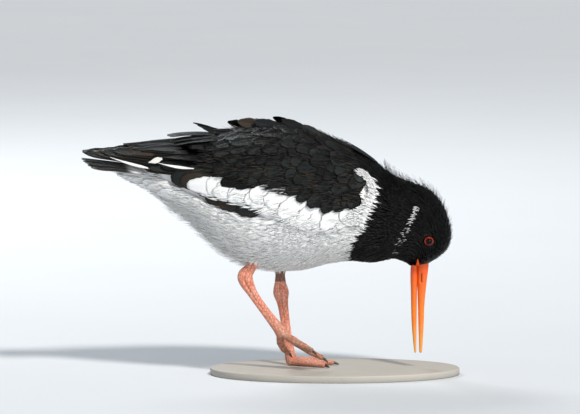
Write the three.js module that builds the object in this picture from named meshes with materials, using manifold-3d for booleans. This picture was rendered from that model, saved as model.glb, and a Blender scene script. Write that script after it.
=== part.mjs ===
// A Eurasian oystercatcher at life size, a still model on a low base. It stands on its left foot with the right foot
// lifted, and probes straight down with its bill a little open. The wings are folded, with a few feathers of the back
// lifted by the wind.
// Millimetres, +Z up. The bird faces +X, so its left side is +Y. The origin is the middle of the base's underside.
import * as THREE from "three";
import { mergeVertices } from "three/addons/utils/BufferGeometryUtils.js";
import Module from "manifold-3d";

const wasm = await Module();
wasm.setup();

// Driving dimensions. Heights of the bird are above the sole of its standing foot.
const GAP = 0.3; // clearance between pieces that meet
const BASE = { length: 210, width: 120, thickness: 6, bevel: 1.2 };
const BODY_SIDES = 24; // facets round the body
const RINGS_PER_SECTION = 2;
const SQUARENESS = 2.15; // of the body's oval sections: 2 is an ellipse
const WING_DEPTH = 5; // how far the folded wing's core sinks into the outline of the body
const EYE = { x: 78.5, z: 107.4, radius: 4.7, stand: 1.9, ring: 0.75 };
const BILL = { top: 85.6, tip: 11.8, sides: 10 };
const SMALLEST_DETAIL = 0.14; // facets of joined feathers that are flatter than this are merged
const RIGHT = -1;
const LEFT = 1;

// The outline from the tail's root to the bill: the belly, the back and half the width at each section.
const SECTIONS = [
  { belly: [-174, 160], back: [-170, 169], half: 8 },
  { belly: [-155, 150], back: [-155, 174], half: 16 },
  { belly: [-137, 136], back: [-138, 184], half: 25 },
  { belly: [-118, 122], back: [-121, 192], half: 33 },
  { belly: [-98, 103], back: [-100, 195], half: 39.5 },
  { belly: [-75, 89.5], back: [-77, 200], half: 45 },
  { belly: [-53, 83.5], back: [-53, 203], half: 48 },
  { belly: [-29.5, 83], back: [-28, 201], half: 48.5 },
  { belly: [-6, 88.5], back: [-2, 191], half: 46 },
  { belly: [12.5, 91], back: [19, 182.5], half: 41 },
  { belly: [28.5, 89.5], back: [36, 172], half: 34.5 },
  { belly: [41, 91], back: [49.5, 161.5], half: 28.5 },
  { belly: [48.5, 92.5], back: [64, 155.5], half: 24.5 },
  { belly: [53, 91.5], back: [77, 151], half: 21.5 },
  { belly: [56, 90.2], back: [88, 141], half: 20 },
  { belly: [58.5, 89], back: [95, 127], half: 18.8 },
  { belly: [60.5, 88], back: [97.8, 113], half: 17 },
  { belly: [61.7, 87], back: [96, 102], half: 14 },
  { belly: [62.5, 86.2], back: [89.5, 94.5], half: 10 },
  { belly: [63, 85.6], back: [80, 88], half: 6 },
];
const LAST = SECTIONS.length - 1;

// The cut between body and neck, along the edge of the black breast, as two points of the side view.
const NECK_CUT = { low: [14.3, 88], high: [42, 170] };
const HEAD_SECTION = 12.5; // the head is parted from the neck between these sections
const TAIL_CUT_X = -150;

// The folded wing's outline in side view, from the top of its leading edge down and back to the rump.
const WING_OUTLINE = [
  [9.5, 172],
  [21, 159],
  [24, 146],
  [19, 134],
  [4, 122],
  [-16, 117.5],
  [-38, 119],
  [-64, 130],
  [-92, 140],
  [-120, 150],
  [-140, 158],
  [-148, 163],
];
const WING_TOP = 225;
// The black upper back in front of the wings, above the white of the shoulder.
const MANTLE_OUTLINE = [
  [9.5, 172.5],
  [24, 166],
  [44, 150],
  [70, 225],
  [9.5, 225],
];

// Colours and finishes
const MATERIALS = {
  black: { color: 0x14161a, roughness: 0.75, metalness: 0 },
  white: { color: 0xe9e9e6, roughness: 0.85, metalness: 0 },
  bill: { color: 0xe85c1c, roughness: 0.4, metalness: 0 },
  eye: { color: 0x9c1410, roughness: 0.08, metalness: 0 },
  leg: { color: 0xdb8d7c, roughness: 0.55, metalness: 0 },
  claw: { color: 0x2b2622, roughness: 0.45, metalness: 0 },
  base: { color: 0xb8b2a6, roughness: 0.6, metalness: 0 },
};

const clamp = THREE.MathUtils.clamp;
const radians = THREE.MathUtils.degToRad;
const vector = (x, y, z) => new THREE.Vector3(x, y, z);

// Solids

function solid(points, faces) {
  const made = new wasm.Manifold(
    new wasm.Mesh({
      numProp: 3,
      vertProperties: new Float32Array(points.flatMap((p) => [p.x, p.y, p.z])),
      triVerts: new Uint32Array(faces),
    }),
  );
  return made.volume() < 0 ? solid(points, [...faces].reverse()) : made;
}

function solidOf(geometry) {
  const bare = geometry.clone();
  bare.deleteAttribute("normal");
  bare.deleteAttribute("uv");
  const merged = mergeVertices(bare, 1e-4);
  const position = merged.getAttribute("position");
  const points = [];
  for (let i = 0; i < position.count; i++) points.push(vector().fromBufferAttribute(position, i));
  return solid(points, [...merged.index.array]);
}

// A closed skin over a row of rings that have as many points each.
function skinOver(rings) {
  const round = rings[0].length;
  const faces = [];
  for (let i = 0; i < rings.length - 1; i++) {
    for (let j = 0; j < round; j++) {
      const a = i * round + j;
      const b = i * round + ((j + 1) % round);
      faces.push(a, b, b + round, a, b + round, a + round);
    }
  }
  const end = (rings.length - 1) * round;
  for (let j = 1; j < round - 1; j++) {
    faces.push(0, j + 1, j);
    faces.push(end, end + j, end + j + 1);
  }
  return solid(rings.flat(), faces);
}

const joined = (solids) => wasm.Manifold.union(solids);

// The largest closed surface of a solid, without loose scraps or sealed hollows.
function largest(whole) {
  return whole.decompose().reduce((best, piece) => (piece.volume() > best.volume() ? piece : best));
}

// Body form

const stationLine = (end) =>
  new THREE.CatmullRomCurve3(SECTIONS.map((s) => vector(s[end][0], s.half, s[end][1])));
const bellyLine = stationLine("belly");
const backLine = stationLine("back");

// The section at a place along the body, counted in sections from the tail.
function section(place) {
  const belly = bellyLine.getPoint(clamp(place / LAST, 0, 1));
  const back = backLine.getPoint(clamp(place / LAST, 0, 1));
  const half = belly.y;
  belly.y = back.y = 0;
  const up = back.clone().sub(belly);
  return { belly, back, half, height: up.length() / 2, up: up.normalize() };
}

const squared = (value) => Math.sign(value) * Math.abs(value) ** (2 / SQUARENESS);

// A point of the body's surface. Round is in degrees from the middle of the back, towards the right side.
function bodyPoint(place, round) {
  const { belly, back, half, height, up } = section(place);
  return belly
    .add(back)
    .multiplyScalar(0.5)
    .addScaledVector(up, height * squared(Math.cos(radians(round))))
    .add(vector(0, -half * squared(Math.sin(radians(round))), 0));
}

function bodyNormal(place, round) {
  const step = 0.02;
  const along = bodyPoint(place + step, round).sub(bodyPoint(place - step, round));
  const across = bodyPoint(place, round + 1).sub(bodyPoint(place, round - 1));
  return across.cross(along).normalize();
}

function liftedPoint(place, round, lift) {
  return bodyPoint(place, round).addScaledVector(bodyNormal(place, round), lift);
}

// The body's form between two places along it, grown by a lift that may vary from place to place.
function bodyForm(lift, from = 0, to = LAST, ringsPerSection = RINGS_PER_SECTION) {
  const rings = [];
  const count = Math.round((to - from) * ringsPerSection);
  for (let i = 0; i <= count; i++) {
    const place = from + ((to - from) * i) / count;
    const ring = [];
    for (let j = 0; j < BODY_SIDES; j++) {
      ring.push(liftedPoint(place, (360 * j) / BODY_SIDES, lift(place)));
    }
    rings.push(ring);
  }
  return skinOver(rings);
}

// The place along the body where its surface has a given x, at an angle round it.
function placeAt(x, round) {
  let low = 0;
  let high = 12;
  for (let i = 0; i < 24; i++) {
    const middle = (low + high) / 2;
    if (bodyPoint(middle, round).x < x) low = middle;
    else high = middle;
  }
  return (low + high) / 2;
}

// A closed outline of the side view as a slab across the body, moved outwards by a margin.
function slab(outline, margin, fromY, toY) {
  const points = outline.map(([x, z]) => new THREE.Vector2(x, z));
  const area = THREE.ShapeUtils.area(points);
  const outwards = (from, to) => new THREE.Vector2(to.y - from.y, from.x - to.x).normalize();
  const moved = points.map((p, i) => {
    const last = outwards(points[(i + points.length - 1) % points.length], p);
    const next = outwards(p, points[(i + 1) % points.length]);
    const mitre = last.clone().add(next).divideScalar(1 + last.dot(next));
    return mitre.multiplyScalar(margin * Math.sign(area)).add(p);
  });
  const made = new THREE.ExtrudeGeometry(new THREE.Shape(moved), {
    depth: toY - fromY,
    bevelEnabled: false,
  });
  made.rotateX(Math.PI / 2);
  made.translate(0, toY, 0);
  return solidOf(made);
}

// The part of a solid on one side of a line of the side view, with half the gap left at the cut.
function beyondCut(whole, { low, high }, side) {
  const along = new THREE.Vector2(high[0] - low[0], high[1] - low[1]).normalize();
  const normal = [along.y * side, 0, -along.x * side];
  return whole.trimByPlane(normal, low[0] * normal[0] + low[1] * normal[2] + GAP / 2);
}

const headCut = (() => {
  const { belly, back } = section(HEAD_SECTION);
  return { low: [belly.x, belly.z], high: [back.x, back.z] };
})();
const tailCut = { low: [TAIL_CUT_X, 0], high: [TAIL_CUT_X, 1] };
const wingOutline = [...WING_OUTLINE, [-148, WING_TOP], [9.5, WING_TOP]];
const wingDepth = (place) => Math.min(WING_DEPTH, section(place).half * 0.25);
const wholeBody = bodyForm(() => 0);
const bedForm = (below) => bodyForm((place) => -wingDepth(place) - below, 0.5, 12, 1);
const wingBed = bedForm(0);

function torso() {
  const pocket = slab(wingOutline, 0, -80, 80).subtract(bedForm(GAP));
  const body = beyondCut(beyondCut(wholeBody, NECK_CUT, -1), tailCut, 1);
  return largest(body.subtract(pocket).subtract(slab(MANTLE_OUTLINE, GAP, -80, 80)));
}

function mantle() {
  const block = slab(MANTLE_OUTLINE, 0, -80, 80).subtract(slab(wingOutline, GAP, -80, 80));
  return largest(beyondCut(wholeBody.intersect(block), NECK_CUT, -1));
}

const neck = () => beyondCut(beyondCut(wholeBody, NECK_CUT, 1), headCut, -1);

// Head

// The eye's centre, sunk into the side of the head so that only its front stands out.
function eyeCentre(side) {
  let place = 13;
  let round = 90;
  for (let i = 0; i < 40; i++) {
    const { belly, back, up, height } = section(place);
    const across = vector(-up.z, 0, up.x);
    const off = vector(EYE.x, 0, EYE.z).sub(belly.add(back).multiplyScalar(0.5));
    place -= off.dot(across) * 0.1;
    round = THREE.MathUtils.radToDeg(Math.acos(clamp(off.dot(up) / height, -1, 1)));
  }
  const surface = bodyPoint(place, round);
  return vector(EYE.x, -side * (surface.y + EYE.radius - EYE.stand), EYE.z);
}

function eye(side) {
  const ball = new THREE.SphereGeometry(EYE.radius, 12, 8);
  ball.translate(...eyeCentre(side));
  return solidOf(ball);
}

function eyeSocket(side) {
  const ball = new THREE.SphereGeometry(EYE.radius + GAP, 12, 8);
  ball.translate(...eyeCentre(side));
  return solidOf(ball);
}

function orbitalRing(side) {
  const ring = new THREE.TorusGeometry(EYE.radius, EYE.ring * 1.6, 6, 12);
  ring.rotateX(Math.PI / 2);
  ring.translate(...eyeCentre(side).add(vector(0, side * (EYE.radius - EYE.stand - 0.4), 0)));
  return solidOf(ring);
}

function head() {
  const rings = joined([orbitalRing(RIGHT), orbitalRing(LEFT)]);
  const sockets = joined([eyeSocket(RIGHT), eyeSocket(LEFT)]);
  const gape = new THREE.BoxGeometry(0.9, 40, 8);
  gape.translate(69.3, 0, BILL.top + 1.5);
  return largest(beyondCut(wholeBody, headCut, 1).add(rings).subtract(sockets).subtract(solidOf(gape)));
}

// Bill: each half is a row of rings between its two edges in side view, from the face to the tip.
const UPPER_BILL = {
  outer: [79.2, 77.6, 76.2, 75.2, 74.8, 74.2, 73.4],
  inner: [69.9, 69.7, 69.6, 70, 70.2, 70.6, 71],
};
const LOWER_BILL = {
  outer: [63.6, 63.4, 63.8, 64.1, 64.6, 65.6, 66.9],
  inner: [69.3, 69.1, 68.8, 68.8, 68.8, 68.7, 68.5],
};
const BILL_HALF_WIDTH = [5.2, 4, 3.2, 2.6, 2.1, 1.6, 1.05];

function billHalf({ outer, inner }, slope) {
  const rings = outer.map((edge, i) => {
    const middle = (edge + inner[i]) / 2;
    const half = Math.abs(edge - inner[i]) / 2;
    const depth = (i / (outer.length - 1)) * (BILL.top - BILL.tip);
    const ring = [];
    for (let j = 0; j < BILL.sides; j++) {
      const angle = (j / BILL.sides) * 2 * Math.PI;
      const x = middle + half * Math.cos(angle);
      const top = BILL.top - 0.5 + slope * (x - 63) * Math.max(0, 1 - i);
      ring.push(vector(x, BILL_HALF_WIDTH[i] * Math.sin(angle), top - depth));
    }
    return ring;
  });
  return skinOver(rings);
}

function upperBill() {
  const half = billHalf(UPPER_BILL, 0.14);
  const nostrils = [RIGHT, LEFT].map((side) => {
    const slit = new THREE.CapsuleGeometry(0.6, 7, 2, 6);
    slit.rotateX(Math.PI / 2);
    slit.translate(72.6, side * 3.9, 75.2);
    return solidOf(slit);
  });
  return half.subtract(joined(nostrils));
}

const lowerBill = () => billHalf(LOWER_BILL, 0.14);

// Legs and feet

// A limb along stations, each { at: [x, y, z], deep, wide }: deep is its radius fore and aft, wide from side to side.
function limb(stations, { steps = 2, sides = 9 } = {}) {
  const path = new THREE.CatmullRomCurve3(stations.map((s) => vector(...s.at)));
  const sizes = new THREE.CatmullRomCurve3(stations.map((s) => vector(s.deep, s.wide, 0)));
  const count = (stations.length - 1) * steps;
  const rings = [];
  for (let i = 0; i <= count; i++) {
    const along = path.getTangent(i / count);
    const across = vector(0, 1, 0).addScaledVector(along, -along.y).normalize();
    const fore = across.clone().cross(along);
    const size = sizes.getPoint(i / count);
    const ring = [];
    for (let j = 0; j < sides; j++) {
      const angle = ((j + 0.5) / sides) * 2 * Math.PI;
      ring.push(
        path
          .getPoint(i / count)
          .addScaledVector(fore, size.x * Math.cos(angle))
          .addScaledVector(across, size.y * Math.sin(angle)),
      );
    }
    rings.push(ring);
  }
  return skinOver(rings);
}

// A thin web between two toes, over a share of their length.
function web(toeA, toeB, share, thickness) {
  const paths = [toeA, toeB].map((toe) => new THREE.CatmullRomCurve3(toe.map((s) => vector(...s.at))));
  const rings = [0, 0.35, 0.7, 1].map((step) => {
    const inset = 0.5 * step;
    const [a, b] = paths.map((path) => path.getPoint(step * share));
    const middle = a.clone().lerp(b, 0.5).add(vector(-3 * inset, 0, 0));
    return [a, middle, b].flatMap((p) => [p]).concat(
      [b, middle, a].map((p) => p.clone().add(vector(0, 0, -thickness))),
    );
  });
  return skinOver(rings);
}

// The standing left leg and the lifted right leg. Each is one row of stations from the thigh to the palm, and is cut
// across at the numbered stations into thigh, shank, tarsus and foot.
const LEG_CUTS = [2, 3, 7];
const LEGS = {
  left: {
    stations: [
      { at: [-45, 15, 104], deep: 12, wide: 10 },
      { at: [-45.6, 14.5, 92], deep: 8.5, wide: 7.5 },
      { at: [-46, 14, 80.5], deep: 4.4, wide: 4 },
      { at: [-46, 13.4, 71], deep: 4.6, wide: 4 },
      { at: [-45.4, 13.1, 61.5], deep: 6.6, wide: 4.9 },
      { at: [-43.8, 12.6, 51], deep: 4.5, wide: 3.4 },
      { at: [-41.2, 12.3, 32], deep: 3.9, wide: 2.9 },
      { at: [-38.2, 12, 11.5], deep: 4.4, wide: 3.6 },
      { at: [-36.6, 12, 5], deep: 5.2, wide: 5 },
      { at: [-35.4, 12, 0.4], deep: 5.2, wide: 5.2 },
    ],
    toes: {
      inner: [
        { at: [-36, 10.5, 3.4], deep: 3.2, wide: 3.4 },
        { at: [-27, 5.5, 3], deep: 2.8, wide: 3 },
        { at: [-17, 0, 2.3], deep: 2.2, wide: 2.6 },
        { at: [-8, -5, 1.8], deep: 1.7, wide: 1.9 },
      ],
      middle: [
        { at: [-35.5, 12, 3.6], deep: 3.4, wide: 3.6 },
        { at: [-24, 12.5, 3.1], deep: 2.9, wide: 3.2 },
        { at: [-12, 13, 2.4], deep: 2.3, wide: 2.7 },
        { at: [-0.5, 13, 1.8], deep: 1.7, wide: 1.9 },
      ],
      outer: [
        { at: [-36, 13.5, 3.4], deep: 3.2, wide: 3.4 },
        { at: [-28, 20, 3], deep: 2.8, wide: 3 },
        { at: [-19, 26.5, 2.3], deep: 2.2, wide: 2.6 },
        { at: [-10.5, 32, 1.8], deep: 1.7, wide: 1.9 },
      ],
    },
  },
  right: {
    stations: [
      { at: [-58, -19, 110], deep: 12, wide: 10 },
      { at: [-63, -19, 98], deep: 8.8, wide: 7.6 },
      { at: [-68, -19, 88], deep: 4.9, wide: 4.5 },
      { at: [-71.6, -19, 83], deep: 4.8, wide: 4.1 },
      { at: [-75.4, -18.9, 75.6], deep: 6.4, wide: 4.8 },
      { at: [-69, -18.6, 62.3], deep: 4.2, wide: 3.2 },
      { at: [-59.5, -18, 48.5], deep: 3.8, wide: 2.9 },
      { at: [-48.2, -17.3, 33.5], deep: 4.5, wide: 3.4 },
      { at: [-44.8, -17, 28.8], deep: 5.2, wide: 4.8 },
      { at: [-41.5, -17, 25.6], deep: 4.4, wide: 4.8 },
    ],
    toes: {
      inner: [
        { at: [-46, -15.6, 28.5], deep: 3.2, wide: 3.2 },
        { at: [-46, -11.5, 20.5], deep: 2.9, wide: 3 },
        { at: [-43.2, -7.5, 14], deep: 2.5, wide: 2.7 },
        { at: [-38.6, -4.6, 10], deep: 1.9, wide: 2 },
      ],
      middle: [
        { at: [-44.5, -17, 28.5], deep: 3.4, wide: 3.4 },
        { at: [-33, -17.5, 20.8], deep: 3, wide: 3.1 },
        { at: [-21, -18.5, 13.2], deep: 2.6, wide: 2.8 },
        { at: [-9.5, -19, 7.4], deep: 1.9, wide: 2 },
      ],
      outer: [
        { at: [-44.5, -18.6, 28.8], deep: 3.2, wide: 3.3 },
        { at: [-35, -23, 23.6], deep: 2.9, wide: 3 },
        { at: [-26, -27, 18.8], deep: 2.5, wide: 2.7 },
        { at: [-18.5, -30, 15], deep: 1.9, wide: 2 },
      ],
    },
  },
};
const CLAW = { length: 6, radius: 1.3, tip: 0.35, hook: 1.6 };

// The part of a leg before or after one of its cuts, with half the gap left there.
function legPart(whole, leg, cut, side) {
  const [before, at, after] = [-1, 0, 1].map((step) => vector(...leg.stations[LEG_CUTS[cut] + step].at));
  const normal = after.sub(before).normalize().multiplyScalar(side);
  return whole.trimByPlane([...normal], normal.dot(at) + GAP / 2);
}

function thigh(leg) {
  const upper = legPart(limb(leg.stations, { sides: 12 }), leg, 0, -1);
  return largest(upper.subtract(bodyForm(() => GAP, 2, 10)));
}

function shank(leg) {
  return largest(legPart(legPart(limb(leg.stations), leg, 0, 1), leg, 1, -1));
}

function tarsus(leg) {
  return largest(legPart(legPart(limb(leg.stations), leg, 1, 1), leg, 2, -1));
}

function foot(leg) {
  const { inner, middle, outer } = leg.toes;
  const pieces = [inner, middle, outer].map((toe) => limb(toe, { sides: 7 }));
  pieces.push(limb(leg.stations), web(inner, middle, 0.3, 1.6), web(middle, outer, 0.5, 1.6));
  return largest(legPart(joined(pieces), leg, 2, 1).trimByPlane([0, 0, 1], 0));
}

// A claw that carries on from a toe's last stretch and hooks down a little.
function claw(toe) {
  const [before, last] = toe.slice(-2).map((s) => vector(...s.at));
  const along = last.clone().sub(before).normalize();
  const start = last.clone().addScaledVector(along, 1.7 * GAP);
  const at = (share, radius) => {
    const p = start.clone().addScaledVector(along, CLAW.length * share);
    p.z = Math.max(p.z - CLAW.hook * share * share, radius);
    return { at: [p.x, p.y, p.z], deep: radius, wide: radius };
  };
  return limb([at(0, CLAW.radius), at(0.5, CLAW.radius * 0.75), at(1, CLAW.tip)], { steps: 1, sides: 6 });
}

// Feathers. A vane's stations give shares of its length, its width and its thickness.
const ROUND_VANE = [
  { along: 0, width: 0.6, thick: 1 },
  { along: 0.7, width: 1, thick: 0.9 },
  { along: 1, width: 0.36, thick: 0.6 },
];
const LONG_VANE = [
  { along: 0, width: 0.45, thick: 1 },
  { along: 0.35, width: 0.9, thick: 1 },
  { along: 0.78, width: 1, thick: 0.85 },
  { along: 0.94, width: 0.62, thick: 0.7 },
  { along: 1, width: 0.14, thick: 0.5 },
];
const VANE_DROP = 0.09; // how far the edges drop, as a share of half the width

// Rows of a folded wing's feathers from the hindmost up. Roots and tips run through guide points, each the distance
// along the bird and the degrees round it, and lift is how high the upper face lies at the root and at the tip.
const WING_TIERS = {
  secondaries: {
    count: 4,
    width: 18,
    lift: [-0.4, 0.9],
    roots: [[-96, 74], [-60, 82], [-24, 92]],
    tips: [[-141, 93], [-105, 99], [-64, 102]],
  },
  greaterCoverts: {
    count: 7,
    width: 14.5,
    lift: [-0.2, 1.7],
    roots: [[-86, 80], [-48, 84], [-12, 92], [16, 90]],
    tips: [[-120, 99], [-76, 97], [-36, 112], [3, 110]],
  },
  medianCoverts: {
    count: 7,
    width: 13.5,
    lift: [0, 2.1],
    roots: [[-64, 66], [-34, 68], [0, 84], [20, 76]],
    tips: [[-90, 84], [-55, 80], [-14, 97], [13, 92]],
  },
  lesserCoverts: {
    count: 7,
    width: 15.5,
    lift: [0.1, 2.4],
    roots: [[-72, 44], [-26, 47], [21, 56]],
    tips: [[-100, 60], [-48, 63], [11, 77]],
  },
  scapulars: {
    count: 6,
    width: 15.5,
    lift: [0.3, 2.8],
    roots: [[-80, 24], [-30, 25], [20, 34]],
    tips: [[-110, 38], [-58, 38], [4, 52]],
  },
  backFeathers: {
    count: 5,
    width: 15.5,
    lift: [0.4, 3],
    roots: [[-90, 12], [-40, 12], [14, 15]],
    tips: [[-122, 16], [-68, 16], [-10, 22]],
  },
};

// Long feathers of the wing from root to tip on the right side, with the lean of their upper face to the side.
const FLIGHT_GROUPS = {
  primaries: {
    count: 5,
    width: 12,
    lean: 0.62,
    roots: [[-126, -21, 172], [-120, -19, 181]],
    tips: [[-212, -9, 182.5], [-178, -13, 186]],
  },
  lowerPrimaries: {
    count: 3,
    width: 11,
    lean: 0.8,
    roots: [[-112, -27, 166], [-108, -26, 172]],
    tips: [[-157, -21, 169.5], [-148, -23.5, 172]],
  },
  tertials: {
    count: 4,
    width: 15,
    lean: 0.45,
    roots: [[-100, -12, 193], [-98, -27, 182]],
    tips: [[-178, -7, 190], [-150, -20, 180]],
  },
};

// Feathers of the back that the wind lifts, on one side each: places as in the tiers, and the lift at the tip.
const RUFFLED = [
  { side: LEFT, root: [-88, 14], tip: [-117, 10], lift: 11, width: 8 },
  { side: RIGHT, root: [-82, 12], tip: [-109, 9], lift: 7.5, width: 8 },
  { side: LEFT, root: [-60, 12], tip: [-83, 10], lift: 8.5, width: 13 },
  { side: RIGHT, root: [-50, 12], tip: [-72, 10], lift: 7.5, width: 14 },
  { side: LEFT, root: [-32, 14], tip: [-54, 11], lift: 7, width: 12 },
];

const TAIL = {
  feathers: 10,
  width: 13,
  root: { x: -147, spread: 9, middle: 167.5, edge: 165 },
  tip: { x: -213, edgeX: -204, spread: 23, middle: 173.5, edge: 168 },
};
const TAIL_COVERTS = [
  { count: 4, width: 15, lift: [-0.2, 2], round: 42, root: -139, tip: -166 },
  { count: 4, width: 16, lift: [-0.2, 2.2], round: 150, root: -140, tip: -168 },
];

// Numbers between 0 and 1 that are the same on every run.
function seeded(seed) {
  let state = seed;
  return () => {
    state = (state * 16807) % 2147483647;
    return state / 2147483647;
  };
}

// A closed vane along a path, which gives a point and the direction of the upper face for each share of its length.
function vane(path, width, { thickness = 1.1, shape = ROUND_VANE } = {}) {
  const rings = shape.map((station) => {
    const { point, normal } = path(station.along);
    const along = path(Math.min(1, station.along + 0.02)).point;
    along.sub(path(Math.max(0, station.along - 0.02)).point);
    const across = normal.clone().cross(along).normalize();
    const half = (width * station.width) / 2;
    const at = (way, level) =>
      point
        .clone()
        .addScaledVector(across, way * half)
        .addScaledVector(normal, level - Math.abs(way) * half * VANE_DROP);
    const thick = thickness * station.thick;
    return [at(-1, 0), at(0, 0.25), at(1, 0), at(0.75, -thick), at(-0.75, -thick)];
  });
  return skinOver(rings);
}

// A path over the body from a root to a tip, on one side.
function overBody(side, root, tip, lift) {
  return (share) => {
    const x = THREE.MathUtils.lerp(root.x, tip.x, share);
    const round = THREE.MathUtils.lerp(root.y, tip.y, share) * -side;
    const place = placeAt(x, round);
    const height = THREE.MathUtils.lerp(lift[0], lift[1], share);
    return { point: liftedPoint(place, round, height), normal: bodyNormal(place, round) };
  };
}

// A path through the air, bowed up a little, with the upper face leaning to the side.
function throughAir(side, root, tip, lean, bow) {
  const normal = vector(0, side * lean, Math.sqrt(1 - lean * lean));
  return (share) => {
    const point = root.clone().lerp(tip, share);
    point.z += 4 * bow * share * (1 - share);
    return { point, normal };
  };
}

const guide = (points) => new THREE.CatmullRomCurve3(points.map(([x, y, z = 0]) => vector(x, y, z)));

function tierOn(side, { count, width, lift, roots, tips }, random) {
  const rootLine = guide(roots);
  const tipLine = guide(tips);
  const vanes = [];
  for (let i = 0; i < count; i++) {
    const share = i / (count - 1);
    const tip = tipLine.getPoint(share).add(vector(3 * random() - 1.5, 2 * random() - 1, 0));
    const raised = [lift[0], lift[1] + 0.5 * random()];
    vanes.push(vane(overBody(side, rootLine.getPoint(share), tip, raised), width));
  }
  return vanes;
}

function flightFeathers(side, { count, width, lean, roots, tips }) {
  const across = (line, share) => line.getPoint(share).multiply(vector(1, -side, 1));
  const vanes = [];
  for (let i = 0; i < count; i++) {
    const root = across(guide(roots), i / (count - 1));
    const tip = across(guide(tips), i / (count - 1));
    const path = throughAir(side, root, tip, lean, 2.5);
    vanes.push(vane(path, width, { shape: LONG_VANE, thickness: 1.2 }));
  }
  return vanes;
}

const ruffledOn = (side) =>
  RUFFLED.filter((feather) => feather.side === side).map(({ root, tip, lift, width }) =>
    vane(overBody(side, vector(...root, 0), vector(...tip, 0), [0.5, lift]), width),
  );

// Wings and tail

function wingCore(side) {
  const [fromY, toY] = side === RIGHT ? [-80, -GAP / 2] : [GAP / 2, 80];
  return wholeBody.intersect(slab(wingOutline, -GAP, fromY, toY)).subtract(wingBed);
}

// All of the body that a wing's feathers stay clear of.
function bodyUnderWing() {
  const outside = bodyForm(() => GAP, 0, 12).subtract(slab(wingOutline, -GAP, -80, 80));
  return outside.add(wingBed);
}

function wing(side) {
  const random = seeded(side === RIGHT ? 11 : 29);
  const vanes = [
    ...Object.values(FLIGHT_GROUPS).flatMap((group) => flightFeathers(side, group)),
    ...Object.values(WING_TIERS).flatMap((tier) => tierOn(side, tier, random)),
    ...ruffledOn(side),
  ];
  const feathers = largest(wingCore(side).add(joined(vanes))).simplify(SMALLEST_DETAIL);
  return largest(feathers.subtract(bodyUnderWing()).trimByPlane([0, side, 0], GAP / 2));
}

function tailFeathers() {
  const { feathers, width, root, tip } = TAIL;
  const vanes = [];
  for (let i = 0; i < feathers; i++) {
    const across = (2 * i) / (feathers - 1) - 1;
    const from = vector(root.x, root.spread * across, root.middle + (root.edge - root.middle) * across ** 2);
    const to = vector(
      tip.x + (tip.edgeX - tip.x) * across ** 2,
      tip.spread * across,
      tip.middle + (tip.edge - tip.middle) * across ** 2 - 0.35 * (i % 2),
    );
    vanes.push(vane(throughAir(Math.sign(across), from, to, 0.25 * Math.abs(across), 0.6), width, { shape: LONG_VANE }));
  }
  return vanes;
}

function tailCoverts({ count, width, lift, round, root, tip }) {
  const vanes = [];
  for (let i = 0; i < count; i++) {
    const across = (2 * i) / (count - 1) - 1;
    const at = (x, spread) => vector(x, round > 90 ? 180 + across * spread : across * spread, 0);
    vanes.push(vane(overBody(LEFT, at(root, 60), at(tip, 55), lift), width));
  }
  return vanes;
}

function tail() {
  const vanes = joined([...tailFeathers(), ...TAIL_COVERTS.flatMap(tailCoverts)]);
  return largest(beyondCut(wholeBody.add(vanes).simplify(SMALLEST_DETAIL), tailCut, -1));
}

function base() {
  const { length, width, thickness, bevel } = BASE;
  const profile = [
    [0, 0],
    [1, 0],
    [1, thickness - bevel],
    [1 - (2 * bevel) / length, thickness],
    [0, thickness],
  ].map(([r, z]) => new THREE.Vector2(r, z));
  const made = new THREE.LatheGeometry(profile, 40);
  made.rotateX(Math.PI / 2);
  made.scale(length / 2, width / 2, 1);
  return solidOf(made);
}

// The model

function meshOf(name, finish, made) {
  const { vertProperties, triVerts, numProp } = made.getMesh();
  const geometry = new THREE.BufferGeometry();
  const position = new THREE.InterleavedBuffer(vertProperties, numProp);
  geometry.setAttribute("position", new THREE.InterleavedBufferAttribute(position, 3, 0));
  geometry.setIndex([...triVerts]);
  geometry.computeVertexNormals();
  const mesh = new THREE.Mesh(geometry, new THREE.MeshStandardMaterial(MATERIALS[finish]));
  mesh.name = name;
  return mesh;
}

const bird = new THREE.Group();
bird.position.z = BASE.thickness + GAP;
bird.add(
  meshOf("head", "black", head()),
  meshOf("neck", "black", neck()),
  meshOf("mantle", "black", mantle()),
  meshOf("torso", "white", torso()),
  meshOf("tail", "black", tail()),
  meshOf("bill_upper", "bill", upperBill()),
  meshOf("bill_lower", "bill", lowerBill()),
);
for (const [name, side] of [
  ["right", RIGHT],
  ["left", LEFT],
]) {
  const leg = LEGS[name];
  bird.add(
    meshOf(`eye_${name}`, "eye", eye(side)),
    meshOf(`wing_${name}`, "black", wing(side)),
    meshOf(`thigh_${name}`, "white", thigh(leg)),
    meshOf(`shank_${name}`, "leg", shank(leg)),
    meshOf(`tarsus_${name}`, "leg", tarsus(leg)),
    meshOf(`foot_${name}`, "leg", foot(leg)),
  );
  for (const [toe, stations] of Object.entries(leg.toes)) {
    bird.add(meshOf(`claw_${name}_${toe}`, "claw", claw(stations)));
  }
}

const model = new THREE.Group();
model.add(bird, meshOf("stand_base", "base", base()));

export default model;
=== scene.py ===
"""The looks of a Eurasian oystercatcher that stands on one foot and probes with its bill, on a low base.

Shapes are worked out in millimetres, with heights above the sole of the standing foot, and are put into
the frame in metres. The bird faces +X and its right side is towards -Y, where the camera is.
"""
import math

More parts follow.
